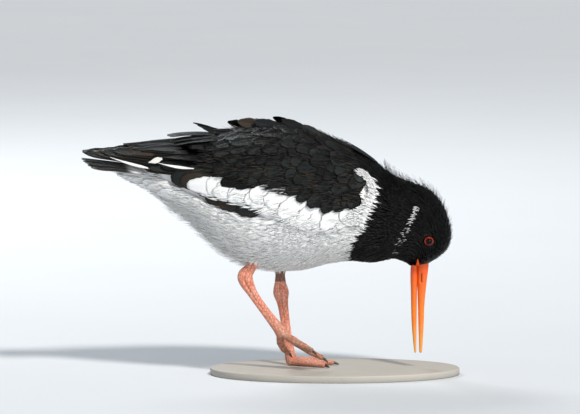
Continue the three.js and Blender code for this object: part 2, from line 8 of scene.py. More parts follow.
import bpy
import numpy as np
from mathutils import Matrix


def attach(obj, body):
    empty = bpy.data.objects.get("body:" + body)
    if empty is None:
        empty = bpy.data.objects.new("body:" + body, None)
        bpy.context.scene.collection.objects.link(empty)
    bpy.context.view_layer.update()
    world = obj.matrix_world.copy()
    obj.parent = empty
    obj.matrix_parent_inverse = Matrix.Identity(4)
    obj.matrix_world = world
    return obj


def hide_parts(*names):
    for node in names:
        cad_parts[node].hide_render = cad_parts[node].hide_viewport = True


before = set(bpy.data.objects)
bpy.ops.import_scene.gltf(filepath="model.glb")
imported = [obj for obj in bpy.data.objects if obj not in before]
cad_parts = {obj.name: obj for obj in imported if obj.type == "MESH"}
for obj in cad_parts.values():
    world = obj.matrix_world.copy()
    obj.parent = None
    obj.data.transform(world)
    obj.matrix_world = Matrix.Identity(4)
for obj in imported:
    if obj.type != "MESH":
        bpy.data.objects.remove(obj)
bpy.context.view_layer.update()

MM = 0.001
GAP = 0.3  # between the base and the sole
BASE = {"length": 210, "width": 120, "thickness": 6, "bevel": 1.6}
SOLE = BASE["thickness"] + GAP
RIGHT, LEFT = -1, 1
SIDE_NAMES = {RIGHT: "right", LEFT: "left"}
random = np.random.default_rng(41)

# The outline from the tail's root to the bill. A section is belly x and z, back x and z, and half the width.
SECTIONS = np.array(
    [
        [-174, 160, -170, 169, 8],
        [-155, 150, -155, 174, 16],
        [-137, 136, -138, 184, 25],
        [-118, 122, -121, 192, 33],
        [-98, 103, -100, 195, 39.5],
        [-75, 89.5, -77, 200, 45],
        [-53, 83.5, -53, 203, 48],
        [-29.5, 83, -28, 201, 48.5],
        [-6, 88.5, -2, 191, 46],
        [12.5, 91, 19, 182.5, 41],
        [28.5, 89.5, 36, 172, 34.5],
        [41, 91, 49.5, 161.5, 28.5],
        [48.5, 92.5, 64, 155.5, 24.5],
        [53, 91.5, 77, 151, 21.5],
        [56, 90.2, 88, 141, 20],
        [58.5, 89, 95, 127, 18.8],
        [60.5, 88, 97.8, 113, 17],
        [61.7, 87, 96, 102, 14],
        [62.5, 86.2, 89.5, 94.5, 10],
        [63, 85.6, 80, 88, 6],
    ]
)
LAST = len(SECTIONS) - 1
SQUARENESS = 2.15  # of the oval sections: 2 is an ellipse
# How far the skin lies under the outline of the feathers, which thin out towards the bill.
SKIN = {"deep": 1.5, "shallow": 0.35, "thinning": 4.0}

# The markings are drawn in side view. The view looks down a little, so what lies further out is seen lower.
LOOK_DOWN = 0.105
# The edge between the white body and the black breast and shoulder, as heights and distances along.
BREAST_EDGE = [[82, 10], [90, 12.6], [105, 16], [117, 23.5], [128, 27.7], [140, 32.8], [150, 35.3], [158, 33],
               [164, 27], [168, 18]]
# The white crescent in front of the folded wing.
CRESCENT = [(15, 167), (21, 168.5), (27.7, 164), (32.5, 158), (35.3, 152), (34.8, 146), (33, 140),
            (30.5, 134), (28, 128), (24, 118), (4, 122), (8, 130), (15, 134), (22, 139), (25, 144),
            (26.6, 151), (25, 156.5), (21, 161.5), (14.5, 164)]
# The white band of the folded wing.
WING_WHITE = [(-116, 146), (-76, 133), (-36, 116), (-12, 112), (10, 114), (16, 130), (-2, 125), (-14, 126),
              (-34, 136), (-60, 147), (-92, 151)]
# The black part of the folded wing and the back beside it.
WING_BLACK = [(18, 178), (23, 166), (24, 145), (18, 136), (8, 130), (-14, 131), (-30, 141), (-58, 148),
              (-86, 151), (-100, 160), (-120, 170), (-112, 230), (0, 230)]
# The folded wing's outline, inside which the body's own small feathers aren't needed.
WING_ZONE = [(4, 176), (14, 167), (21, 167.5), (27, 163), (31.5, 157.5), (34.3, 152), (33.8, 146),
             (31, 139), (24, 133), (12, 129), (0, 126), (-18, 121), (-38, 122), (-66, 126), (-91, 131),
             (-109, 140), (-128, 149), (-150, 165), (-150, 240), (4, 240)]
# The broken white bar on each side of the neck, from its foot to its top.
COLLAR = {"foot": (51, 97), "top": (68.5, 135.5), "half_width": 2.4}
RUMP = {"before": -136, "above": 160}  # the white rump under the wings
EYE = {"x": 78.5, "z": 106.5, "radius": 4.7, "stand": 1.9, "pupil": 2.6, "iris": 3.6, "bare": 4.5}
LIDS = {"radius": 3.55, "thick": 0.26, "level": 0.3, "closed": 0.94}
BILL = {"top": 85.6, "tip": 11.8, "sunk": 2.5, "rear": 63}
NOSTRIL = dict(x=72.6, low=71, high=80, half=0.65, depth=1.5)


# Sums on arrays of points


def unit(vectors):
    return vectors / np.maximum(np.linalg.norm(vectors, axis=-1, keepdims=True), 1e-9)


def mix(a, b, share):
    return a + (b - a) * share


def shares(count):
    return np.linspace(0, 1, count)


def full_turn(count):
    return np.linspace(0, 2 * np.pi, count, endpoint=False)


def ramp(value, low, high):
    share = np.clip((value - low) / (high - low), 0, 1)
    return share * share * (3 - 2 * share)


def through(points, share):
    """Points on a smooth curve through the given ones, for shares from 0 to 1."""
    points = np.asarray(points, float)
    place = np.clip(np.asarray(share, float), 0, 1) * (len(points) - 1)
    low = np.clip(np.floor(place).astype(int), 0, len(points) - 2)
    t = (place - low)[..., None]
    padded = np.concatenate([2 * points[:1] - points[1:2], points, 2 * points[-1:] - points[-2:-1]])
    p0, p1, p2, p3 = (padded[low + k] for k in range(4))
    straight = 2 * p1 + (p2 - p0) * t
    bend = (2 * p0 - 5 * p1 + 4 * p2 - p3) * t**2
    return 0.5 * (straight + bend + (3 * (p1 - p2) + p3 - p0) * t**3)


# The form of the body


def body_point(place, around):
    """A point of the outline. Around is in degrees from the middle of the back, towards the right side."""
    place, around = np.broadcast_arrays(np.asarray(place, float), np.asarray(around, float))
    s = through(SECTIONS, place / LAST)
    up = np.stack([s[..., 2] - s[..., 0], np.zeros_like(place), s[..., 3] - s[..., 1]], -1)
    middle = np.stack([s[..., 2] + s[..., 0], np.zeros_like(place), s[..., 3] + s[..., 1]], -1) / 2
    power = 2 / SQUARENESS
    rise = np.sign(np.cos(np.radians(around))) * np.abs(np.cos(np.radians(around))) ** power
    aside = np.sign(np.sin(np.radians(around))) * np.abs(np.sin(np.radians(around))) ** power
    point = middle + up / 2 * rise[..., None]
    point[..., 1] -= s[..., 4] * aside
    return point


def body_normal(place, around):
    along = body_point(place + 0.03, around) - body_point(place - 0.03, around)
    across = body_point(place, around + 1.5) - body_point(place, around - 1.5)
    return unit(np.cross(across, along))


def place_at(x, around):
    """The place along the body where its surface has a given x, at an angle round it."""
    low, high = np.zeros_like(x), np.full_like(x, 12)
    for _ in range(18):
        middle = (low + high) / 2
        behind = body_point(middle, around)[..., 0] < x
        low, high = np.where(behind, middle, low), np.where(behind, high, middle)
    return (low + high) / 2


def seen(point):
    """Where a point of either side lies in side view: distance along and height."""
    return point[..., 0], point[..., 2] - LOOK_DOWN * np.abs(point[..., 1])


def spot_on_side(x, z):
    """The place and the degrees round of the point of the right side that is seen at x and z."""
    places, angles = np.meshgrid(np.linspace(10, LAST, 240), np.linspace(20, 160, 241), indexing="ij")
    at_x, at_z = seen(body_point(places, angles))
    nearest = np.hypot(at_x - x, at_z - z).argmin()
    return places.flat[nearest], angles.flat[nearest]


def whiteness(point):
    """1 where the plumage is white and 0 where it is black."""
    x, z = seen(point)
    heights, edge = np.array(BREAST_EDGE).T
    behind = x < np.interp(z, heights, edge, right=-400)
    rump = (x < RUMP["before"]) & (z > RUMP["above"])
    return (behind | rump).astype(float)


def inside_outline(x, z, outline):
    inside = np.zeros(x.shape, bool)
    outline = np.asarray(outline, float)
    for (x0, z0), (x1, z1) in zip(outline, np.roll(outline, -1, 0)):
        crosses = (z0 > z) != (z1 > z)
        at = x0 + (z - z0) / (z1 - z0 if z1 != z0 else 1e-9) * (x1 - x0)
        inside ^= crosses & (x < at)
    return inside


EYE_PLACE = spot_on_side(EYE["x"], EYE["z"])
EYE_SPOT = body_point(*EYE_PLACE)


# Meshes


def to_frame(points):
    return (np.asarray(points, float) + [0, 0, SOLE]) * MM


def add_mesh(name, points, loops, totals, material):
    mesh = bpy.data.meshes.new(name)
    mesh.vertices.add(len(points))
    mesh.vertices.foreach_set("co", to_frame(points).astype(np.float32).ravel())
    mesh.loops.add(len(loops))
    mesh.loops.foreach_set("vertex_index", loops.astype(np.int32))
    mesh.polygons.add(len(totals))
    mesh.polygons.foreach_set("loop_start", (np.cumsum(totals) - totals).astype(np.int32))
    mesh.polygons.foreach_set("use_smooth", np.full(len(totals), True))
    mesh.update(calc_edges=True)
    mesh.validate()
    mesh.materials.append(material)
    piece = bpy.data.objects.new(name, mesh)
    bpy.context.scene.collection.objects.link(piece)
    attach(piece, "root")
    return piece


def closed_rings(count, stations, around):
    """The faces of closed forms, each a row of rings, and how many corners each face has."""
    i, j = np.meshgrid(np.arange(stations - 1), np.arange(around), indexing="ij")
    a, b = i * around + j, i * around + (j + 1) % around
    quads = np.stack([a, b, b + around, a + around], -1).reshape(-1)
    start = np.arange(around)[::-1]
    end = (stations - 1) * around + np.arange(around)
    one = np.concatenate([quads, start, end])
    totals = np.concatenate([np.full((stations - 1) * around, 4), [around, around]])
    shift = np.arange(count)[:, None] * stations * around
    return (one[None] + shift).reshape(-1), np.tile(totals, count)


def volume(rings):
    """Six times the volume inside a row of rings, negative where its faces look inwards."""
    rings = rings - rings.mean((0, 1))
    following = np.roll(rings, -1, 1)
    sides = rings[:-1] * (np.cross(following[:-1], following[1:]) + np.cross(following[1:], rings[1:]))
    first, last = ((rings[end].mean(0) * np.cross(rings[end], following[end])).sum() for end in (0, -1))
    return sides.sum() - first + last


def loft(name, rings, material):
    """A closed smooth skin over a row of rings, given as an array (stations, around, 3)."""
    stations, around, _ = rings.shape
    if volume(rings) < 0:
        rings = rings[:, ::-1]
    loops, totals = closed_rings(1, stations, around)
    return add_mesh(name, rings.reshape(-1, 3), loops, totals, material)


def set_loop_uv(mesh, name, values):
    layer = mesh.uv_layers.new(name=name)
    layer.data.foreach_set("uv", values.astype(np.float32).ravel())


def set_coat(mesh, values):
    layer = mesh.color_attributes.new("coat", "FLOAT_COLOR", "POINT")
    layer.data.foreach_set("color", values.astype(np.float32).ravel())


# Feathers. Each is a closed vane along a row of stations, with a shaft, curved edges and a thin underside.

PATCH = 0.003  # a feather's share of the coat's UV map


def for_each(value, count, stations):
    """A value for all feathers, for each feather or for each station, as an array (count, stations)."""
    value = np.asarray(value, float)
    return np.broadcast_to(value[:, None] if value.ndim == 1 else value, (count, stations))


def feathers(name, centre, normal, half, *, white, tone, root, material, ragged, columns=5, camber=0.16,
             thickness=0.14, shaft=0.05):
    """Vanes along centre lines (count, stations, 3).

    Half is half the width, and root is each one's place on the unwrapped skin. Ragged is how uneven the
    edges are.
    """
    count, stations, _ = centre.shape
    tangent = unit(np.gradient(centre, axis=1))
    across = unit(np.cross(tangent, normal))
    ways = np.linspace(-1, 1, columns)
    under = ways[1:-1][::-1] if columns > 5 else np.array([0.0])
    ring = np.concatenate([ways, under])
    level = -camber * ring**2
    rows = for_each(half, count, stations)[..., None]
    to_tip = np.linspace(0.3, 1, stations)[None, :, None]
    edge = 1 + ragged * random.normal(size=(count, stations, 2)) * to_tip
    spread = np.where(ring < 0, edge[..., :1], edge[..., 1:]) * ring
    rise = rows * level
    rise[..., : len(ways)] += shaft * np.exp(-((ways / 0.12) ** 2))
    rise[..., len(ways) :] -= thickness
    points = centre[:, :, None] + across[:, :, None] * (rows * spread)[..., None]
    points += normal[:, :, None] * rise[..., None]
    loops, totals = closed_rings(count, stations, len(ring))
    piece = add_mesh(name, points.reshape(-1, 3), loops, totals, material)
    share = shares(stations)
    length = np.linalg.norm(np.diff(centre, axis=1), axis=-1).sum(1)
    flat = np.zeros((count, stations, len(ring), 4))
    flat[..., 0] = for_each(white, count, stations)[..., None]
    flat[..., 1] = for_each(tone, count, stations)[..., None]
    flat[..., 2] = share[None, :, None]
    flat[..., 3] = np.abs(ring)
    set_coat(piece.data, flat.reshape(-1, 4))
    place = np.stack(np.broadcast_arrays(ring / 2, flat[..., 2] - 0.5), -1)
    patch = root[:, None, None] + PATCH * place
    vane = np.stack([place[..., 0] * rows, (place[..., 1] + 0.5) * length[:, None, None]], -1)
    set_loop_uv(piece.data, "OFBake", patch.reshape(-1, 2)[loops])
    set_loop_uv(piece.data, "Vane", vane.reshape(-1, 2)[loops])
    return piece


def unwrapped(place, around):
    """A place on the skin in its own unwrap."""
    across = 0.5 + 0.48 * ((around + 180) % 360 - 180) / 180
    return np.stack([0.02 + 0.96 * np.clip(place / LAST, 0, 1), across], -1)


def profile(shape, share, tip):
    """Shares of the half width along a vane: rounded, pointed or broad. Tip is how wide it ends."""
    if shape == "round":
        return np.where(share < 0.5, 0.45 + 0.55 * np.sin(share * np.pi),
                        np.maximum(1 - ((share - 0.5) / 0.5) ** 2.6 * (1 - tip), 0))
    if shape == "broad":
        return np.where(share < 0.8, 0.5 + 0.5 * ramp(share, 0, 0.4),
                        np.sqrt(np.maximum(1 - ((share - 0.8) / 0.2) ** 2 * (1 - tip**2), 0)))
    return np.clip(0.35 + 0.65 * ramp(share, 0, 0.35) - ramp(share, 0.45, 1) * (1 - tip), tip, 1)


def on_body(place, around, length, turn, lift, stations):
    """Centre lines and normals of feathers that lie back over the body from their roots."""
    share = shares(stations)[None]
    step = np.linalg.norm(body_point(place + 0.05, around) - body_point(place - 0.05, around), axis=-1) / 0.1
    girth = np.linalg.norm(body_point(place, around + 2) - body_point(place, around - 2), axis=-1) / 4
    turn = np.radians(turn)
    places = place[:, None] - (length * np.cos(turn) / np.maximum(step, 4))[:, None] * share
    aside = length * np.sin(turn) / np.maximum(girth, 0.12)
    rounds = around[:, None] + aside[:, None] * share * np.sign(around)[:, None]
    inside = np.clip(places, 0.05, LAST)
    normal = body_normal(inside, rounds)
    low, high = (for_each(value, len(place), stations) for value in lift)
    height = mix(low, high, share**1.5)
    centre = body_point(inside, rounds) + normal * height[..., None]
    along = body_point(inside + 0.05, rounds) - body_point(inside - 0.05, rounds)
    beyond = (places - inside) * step[:, None]
    centre += unit(along) * beyond[..., None]
    return centre, normal


def scatter(from_place, to_place, row_step, gap_round):
    """Roots in staggered rows over the whole body between two places."""
    spread = 0.45
    places, rounds = [], []
    place = from_place
    odd = 0
    while place < to_place:
        step = np.linalg.norm(body_point(place + 0.05, 90) - body_point(place - 0.05, 90)) / 0.1
        ring = body_point(np.full(73, place), np.linspace(-180, 180, 73))
        girth = np.linalg.norm(np.diff(ring, axis=0), axis=1).sum()
        count = max(int(girth / gap_round), 6)
        angles = (np.arange(count) + 0.5 * odd) / count * 360 - 180
        rounds.append(angles + spread * random.uniform(-1, 1, count) * 360 / count)
        places.append(place + spread * random.uniform(-1, 1, count) * row_step / step)
        place += row_step / step
        odd = 1 - odd
    return np.concatenate(places), np.concatenate(rounds)


# Materials


class Nodes:
    """Short ways to add and join shader nodes in one material."""

    def __init__(self, name):
        self.material = bpy.data.materials.new(name)
        self.material.use_nodes = True
        self.tree = self.material.node_tree
        self.shader = self.tree.nodes["Principled BSDF"]
        self.place = self.add("ShaderNodeTexCoord").outputs["Object"]

    def add(self, kind, inputs=None, **settings):
        node = self.tree.nodes.new(kind)
        for key, value in settings.items():
            setattr(node, key, value)
        for key, value in (inputs or {}).items():
            self.set(node.inputs[key], value)
        return node

    def set(self, socket, value):
        if isinstance(value, bpy.types.NodeSocket):
            self.tree.links.new(value, socket)
        else:
            socket.default_value = value

    def math(self, operation, *values, clamp=False):
        node = self.add("ShaderNodeMath", operation=operation, use_clamp=clamp)
        for socket, value in zip(node.inputs, values):
            self.set(socket, value)
        return node.outputs[0]

    def blend(self, share, first, second):
        node = self.add("ShaderNodeMix", data_type="RGBA")
        self.set(node.inputs[0], share)
        self.set(node.inputs[6], first)
        self.set(node.inputs[7], second)
        return node.outputs[2]

    def span(self, value, low, high, to_low=0.0, to_high=1.0):
        node = self.add("ShaderNodeMapRange", {0: value, 1: low, 2: high, 3: to_low, 4: to_high})
        return node.outputs[0]

    def vectors(self, operation, *values):
        return self.add("ShaderNodeVectorMath", dict(enumerate(values)), operation=operation).outputs

    def axes(self, vector):
        return self.add("ShaderNodeSeparateXYZ", {0: vector}).outputs

    def stretched(self, vector, scale):
        return self.add("ShaderNodeMapping", {"Vector": vector, "Scale": scale}).outputs[0]

    def noise(self, scale, detail, vector):
        inputs = {"Scale": scale, "Detail": detail, "Roughness": 0.55, "Vector": vector}
        return self.add("ShaderNodeTexNoise", inputs).outputs["Fac"]

    def bump(self, height, strength, distance, normal=None):
        node = self.add("ShaderNodeBump", {"Strength": strength, "Distance": distance, "Height": height})
        if normal is not None:
            self.set(node.inputs["Normal"], normal)
        return node.outputs["Normal"]

    def finish(self, **values):
        for key, value in values.items():
            self.set(self.shader.inputs[key.replace("_", " ")], value)
        return self.material


def colour(red, green, blue):
    return (red, green, blue, 1.0)


BLACK = {"deep": colour(0.0012, 0.0014, 0.0015), "slate": colour(0.010, 0.0145, 0.0140),
         "brown": colour(0.036, 0.023, 0.014)}
# root is a grey that is painted on the white feathers near their roots, as the shade where they overlap.
WHITE = {"bright": colour(0.93, 0.93, 0.92), "warm": colour(0.86, 0.83, 0.76),
         "root": colour(0.72, 0.72, 0.72)}


def plumage(name, barbs=True):
    """Black or white feathers, as the coat attribute says.

    It holds the whiteness, the tone, the share of the length and the distance from the shaft.
    """
    n = Nodes(name)
    coat = n.add("ShaderNodeAttribute", attribute_name="coat", attribute_type="GEOMETRY")
    parts = n.add("ShaderNodeSeparateColor", {"Color": coat.outputs["Color"]}).outputs
    patches = n.noise(45.0, 3.0, n.place)
    fine = n.noise(900.0, 3.0, n.place)
    tone = n.math("ADD", parts[1], n.math("MULTIPLY", n.math("SUBTRACT", patches, 0.5), 0.5), clamp=True)
    dark = n.blend(n.span(tone, 0.25, 0.75), BLACK["deep"], BLACK["slate"])
    dark = n.blend(n.span(tone, 0.72, 1.0), dark, BLACK["brown"])
    rim = n.math("MULTIPLY", n.span(coat.outputs["Alpha"], 0.6, 1.0), n.span(parts[2], 0.4, 1.0), clamp=True)
    dark = n.blend(n.math("MULTIPLY", rim, 0.4), dark, BLACK["brown"])
    light = n.blend(n.span(tone, 0.45, 1.0), WHITE["bright"], WHITE["warm"])
    # The white feathers are painted greyer towards their roots: painted shade where they overlap.
    light = n.blend(n.span(parts[2], 0.0, 0.35, 0.3, 0.0), light, WHITE["root"])
    both = n.blend(parts[0], dark, light)
    both = n.blend(n.span(fine, 0.35, 0.65, 0.05, 0.0), both, colour(0.02, 0.02, 0.02))
    rough = n.math("ADD", n.span(parts[0], 0.0, 1.0, 0.34, 0.78), n.math("MULTIPLY", fine, 0.2))
    vane = n.add("ShaderNodeUVMap", uv_map="Vane").outputs[0]
    strands = n.noise(1.0, 2.0, n.stretched(vane, (5.0, 0.35, 1.0)))
    normal = n.bump(n.math("ADD", fine, strands), 0.25, 0.0004)
    if barbs:
        axes = n.axes(vane)
        slant = n.math("SUBTRACT", axes[1], n.math("MULTIPLY", n.math("ABSOLUTE", axes[0]), 2.4))
        lines = n.math("SINE", n.math("MULTIPLY", slant, 9.0))
        normal = n.bump(lines, 0.35, 0.00025, normal)
    return n.finish(Base_Color=both, Roughness=rough, Normal=normal, Specular_IOR_Level=0.2)


def bill_horn():
    n = Nodes("bill_horn")
    axes = n.axes(n.place)
    down = n.span(axes[2], (BILL["tip"] + SOLE) * MM, (BILL["top"] + SOLE) * MM, 1.0, 0.0)
    blotches = n.noise(70.0, 4.0, n.place)
    shift = n.math("ADD", down, n.math("MULTIPLY", n.math("SUBTRACT", blotches, 0.5), 0.35))
    base = n.blend(n.span(shift, 0.05, 0.55), colour(0.80, 0.095, 0.004), colour(0.88, 0.20, 0.006))
    tip = n.blend(n.span(shift, 0.6, 1.0), base, colour(0.78, 0.36, 0.07))
    streaks = n.noise(1600.0, 3.0, n.stretched(n.place, (1.0, 1.0, 0.08)))
    wear_and_nostril_shade = n.blend(n.span(streaks, 0.55, 0.75, 0.0, 0.18), tip, colour(0.90, 0.42, 0.16))
    # The nostril slit is painted near-black as the shade inside the opening; the lighter streaks before it
    # are wear.
    middle, half = (NOSTRIL["low"] + NOSTRIL["high"]) / 2, (NOSTRIL["high"] - NOSTRIL["low"]) / 2
    off_x = n.math("ABSOLUTE", n.math("SUBTRACT", axes[0], NOSTRIL["x"] * MM))
    off_z = n.math("ABSOLUTE", n.math("SUBTRACT", axes[2], (middle + SOLE) * MM))
    beside = n.span(off_x, 0.25 * MM, 0.6 * MM, 1.0, 0.0)
    slit = n.math("MULTIPLY", beside, n.span(off_z, (half - 2) * MM, half * MM, 1.0, 0.0))
    wear_and_nostril_shade = n.blend(n.math("MULTIPLY", slit, 0.9), wear_and_nostril_shade, colour(0.05, 0.008, 0.004))
    normal = n.bump(streaks, 0.12, 0.0003)
    return n.finish(Base_Color=wear_and_nostril_shade, Roughness=n.span(blotches, 0.3, 0.7, 0.30, 0.42), Normal=normal,
                    Subsurface_Weight=0.12, Subsurface_Radius=(1.0, 0.3, 0.1), Subsurface_Scale=0.002)


def eye_ball(centre, way):
    n = Nodes("eye")
    middle = tuple(to_frame(centre))
    off = n.vectors("SUBTRACT", n.place, middle)[0]
    ahead = n.vectors("DOT_PRODUCT", off, tuple(way))["Value"]
    length = n.vectors("LENGTH", off)["Value"]
    out = n.math("SQRT", n.math("SUBTRACT", n.math("POWER", length, 2.0), n.math("POWER", ahead, 2.0)))
    ring = n.math("MULTIPLY", out, 1 / MM)
    rays = n.noise(1500.0, 2.0, off)
    iris = n.blend(n.span(rays, 0.3, 0.7), colour(0.085, 0.003, 0.002), colour(0.24, 0.012, 0.004))
    rim = n.blend(n.span(ring, EYE["iris"] - 0.7, EYE["iris"]), iris, colour(0.03, 0.002, 0.002))
    outside = n.span(ring, EYE["pupil"] - 0.06, EYE["pupil"] + 0.06)
    whole = n.blend(outside, colour(0.001, 0.001, 0.001), rim)
    return n.finish(Base_Color=whole, Roughness=0.08, Specular_IOR_Level=0.16)


def eye_ring():
    n = Nodes("eye_ring")
    grains = n.add("ShaderNodeTexVoronoi", {"Scale": 1400.0, "Vector": n.place}).outputs["Distance"]
    seen = n.blend(n.span(grains, 0.0, 0.7), colour(0.55, 0.075, 0.010), colour(0.22, 0.014, 0.004))
    return n.finish(Base_Color=seen, Roughness=0.4, Normal=n.bump(grains, 0.5, 0.0002))


def leg_skin(name, muddy, painted_shade_from):
    n = Nodes(name)
    flat = n.stretched(n.place, (1.0, 0.75, 0.62))
    cells = n.add("ShaderNodeTexVoronoi", {"Scale": 520.0, "Vector": flat}, feature="DISTANCE_TO_EDGE")
    seams = n.span(cells.outputs["Distance"], 0.0, 0.12)
    patches = n.noise(120.0, 4.0, n.place)
    pink = n.blend(n.span(patches, 0.35, 0.7), colour(0.80, 0.27, 0.16), colour(0.88, 0.45, 0.33))
    pink = n.blend(n.math("MULTIPLY", n.math("SUBTRACT", 1.0, seams), 0.6), pink, colour(0.50, 0.13, 0.08))
    height = n.axes(n.place)[2]
    low = n.span(height, (SOLE + muddy["from"]) * MM, (SOLE + muddy["to"]) * MM, 1.0, 0.0)
    soil = n.math("MULTIPLY", low, n.span(n.noise(300.0, 4.0, n.place), 0.35, 0.6, 0.35, 1.0), clamp=True)
    seen = n.blend(n.math("MULTIPLY", soil, muddy["share"]), pink, colour(0.17, 0.115, 0.06))
    # From the given height up, the leg is painted dark brown as the shade under the belly.
    top = n.math("ADD", height, n.span(patches, 0.3, 0.7, -0.001, 0.001))
    dark = n.span(top, (SOLE + painted_shade_from) * MM, (SOLE + painted_shade_from + 1.5) * MM, 0.0, 0.8)
    seen = n.blend(dark, seen, colour(0.09, 0.055, 0.04))
    normal = n.bump(seams, 0.8, 0.0007, n.bump(patches, 0.4, 0.0012))
    return n.finish(Base_Color=seen, Roughness=n.span(patches, 0.3, 0.7, 0.38, 0.55), Normal=normal,
                    Subsurface_Weight=0.15, Subsurface_Radius=(1.0, 0.35, 0.2), Subsurface_Scale=0.0015)


def claw_horn():
    n = Nodes("claw_horn")
    streaks = n.noise(900.0, 3.0, n.place)
    seen = n.blend(streaks, colour(0.015, 0.011, 0.009), colour(0.07, 0.045, 0.03))
    return n.finish(Base_Color=seen, Roughness=0.35, Normal=n.bump(streaks, 0.2, 0.0002))


def stand_plastic():
    n = Nodes("stand_plastic")
    broad = n.noise(60.0, 3.0, n.place)
    seen = n.blend(n.span(broad, 0.3, 0.7), colour(0.46, 0.43, 0.38), colour(0.44, 0.41, 0.36))
    normal = n.bump(n.noise(900.0, 2.0, n.place), 0.15, 0.0001)
    return n.finish(Base_Color=seen, Roughness=0.55, Normal=normal)


FEATHER = plumage("plumage")
DOWN = plumage("plumage_fine", barbs=False)
BILL_HORN = bill_horn()
EYE_RING = eye_ring()
# The standing leg is painted in shade under the belly from 70.5 mm up; 200 mm lies above the raised leg, so
# it has none.
CLEAN_LEG = leg_skin("leg_skin", {"from": 0.0, "to": 16.0, "share": 0.35}, painted_shade_from=70.5)
MUDDY_LEG = leg_skin("leg_skin_muddy", {"from": 18.0, "to": 44.0, "share": 0.8}, painted_shade_from=200)
CLAW_HORN = claw_horn()
STAND_PLASTIC = stand_plastic()


# The skin under the feathers


def make_skin():
    stations, around = 150, 96
    place = np.linspace(0, LAST, stations)[:, None]
    angle = np.linspace(0, 360, around, endpoint=False)[None]
    place, angle = np.broadcast_arrays(place, angle)
    depth = SKIN["deep"] * ramp(LAST - place, 0.0, SKIN["thinning"]) + SKIN["shallow"]
    out = body_normal(np.clip(place, 0.05, LAST - 0.05), angle)
    rings = body_point(place, angle) - out * depth[..., None]
    loops, totals = closed_rings(1, stations, around)
    piece = add_mesh("skin", rings.reshape(-1, 3), loops, totals, DOWN)
    coat = np.zeros(place.shape + (4,))
    coat[..., 0] = whiteness(rings)
    coat[..., 1] = 0.3
    coat[..., 2] = 0.4
    set_coat(piece.data, coat.reshape(-1, 4))
    flat = unwrapped(place, np.where(angle > 180, angle - 360, angle)).reshape(-1, 2)
    set_loop_uv(piece.data, "OFBake", flat[loops])
    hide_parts("head", "neck", "mantle", "torso", "tail", "wing_right", "wing_left")


# Small feathers of the body


def body_feathers(name, places, rounds, size, *, lift, tones, tip, turn=12, stations=5, columns=3,
                  ragged=0.06, camber=0.10, clear=True, zone=None, white=None, start=-1.0):
    """A coat of small pointed feathers. Size is (length, width), each feather's own from where it grows.

    Zone keeps only the feathers that are seen wholly inside it. Without one, clear leaves out the feathers
    under the folded wing.
    """
    count = len(places)
    length, width = (np.broadcast_to(value, (count,)).astype(float) for value in size)
    length = length * random.uniform(0.8, 1.2, count)
    lifts = (start, lift * random.uniform(0.6, 1.4, count))
    centre, normal = on_body(places, rounds, length, turn + random.normal(0, 7, count), lifts, stations)
    root, middle = centre[:, 0], centre[:, int(0.6 * stations)]
    keep = np.ones(count, bool)
    if zone is not None:
        keep = inside_outline(*seen(root), zone) & inside_outline(*seen(centre[:, -1]), zone)
    elif clear:
        keep = ~inside_outline(*seen(root), WING_ZONE)
    x, z = seen(centre)
    eye_x, eye_z = seen(EYE_SPOT)
    keep &= (np.hypot(x - eye_x, z - eye_z) >= EYE["bare"]).all(1)
    if white is None:
        white = whiteness(middle + random.normal(0, 0.5, middle.shape))
    white = np.broadcast_to(white, (count,))
    half = width[:, None] / 2 * profile("pointed", shares(stations), tip)[None]
    half = half * random.uniform(0.85, 1.15, (count, 1))
    tone = random.uniform(*tones, count)
    return feathers(name, centre[keep], normal[keep], half[keep], white=white[keep], tone=tone[keep],
                    root=unwrapped(places, rounds)[keep], ragged=ragged, camber=camber, columns=columns,
                    material=FEATHER if width.mean() > 5 else DOWN, thickness=0.1)


def make_head_coat():
    places, rounds = scatter(11.4, LAST - 0.15, 1.7, 1.25)
    face = ramp(places, 12.0, 18.5)
    body_feathers("coat_head", places, rounds, (mix(8.5, 2.8, face), mix(2.3, 1.0, face)),
                  lift=mix(0.9, 0.25, face), turn=4, tones=(0.0, 0.4), tip=0.15)
    places, rounds = scatter(10.8, 16.6, 2.3, 2.1)
    high = np.cos(np.radians(rounds))
    keep = (high > 0.25) & (random.uniform(size=len(places)) < ramp(high, 0.2, 0.8))
    places, rounds, high = places[keep], rounds[keep], high[keep]
    body_feathers("coat_nape", places, rounds, (mix(10.5, 5.0, ramp(places, 12, 16.5)), 1.25),
                  lift=mix(1.2, 5.2, ramp(high, 0.4, 0.95)) * mix(1.0, 0.3, ramp(places, 12.8, 16.5)),
                  turn=0, tones=(0.0, 0.35), tip=0.08, stations=6)


def make_collar():
    """Short white feathers in a broken bar, densest at its top."""
    places, rounds = scatter(11.5, 16.0, 1.3, 1.0)
    middle = body_point(places - 0.15, rounds)
    x, z = seen(middle)
    foot, top = np.array(COLLAR["foot"]), np.array(COLLAR["top"])
    along = ((x - foot[0]) * (top - foot)[0] + (z - foot[1]) * (top - foot)[1]) / ((top - foot) ** 2).sum()
    off = np.hypot(x - mix(foot[0], top[0], along), z - mix(foot[1], top[1], along))
    wide = COLLAR["half_width"] * mix(1.25, 0.75, ramp(along, 0.3, 0.9))
    density = np.interp(along, [0, 0.15, 0.45, 0.62, 0.75, 1.0], [0.06, 0.14, 0.34, 0.25, 0.85, 1.0])
    keep = (along > 0) & (along < 1) & (off < wide) & (random.uniform(size=len(x)) < density)
    places, rounds, along = places[keep], rounds[keep], along[keep]
    white = np.clip(mix(0.35, 0.85, ramp(along, 0.2, 0.85)) + random.normal(0, 0.15, len(places)), 0.15, 1)
    body_feathers("coat_collar", places, rounds, (3.3, 0.7), lift=1.5, turn=10, tones=(0.0, 0.4),
                  tip=0.1, white=white, start=0.2)


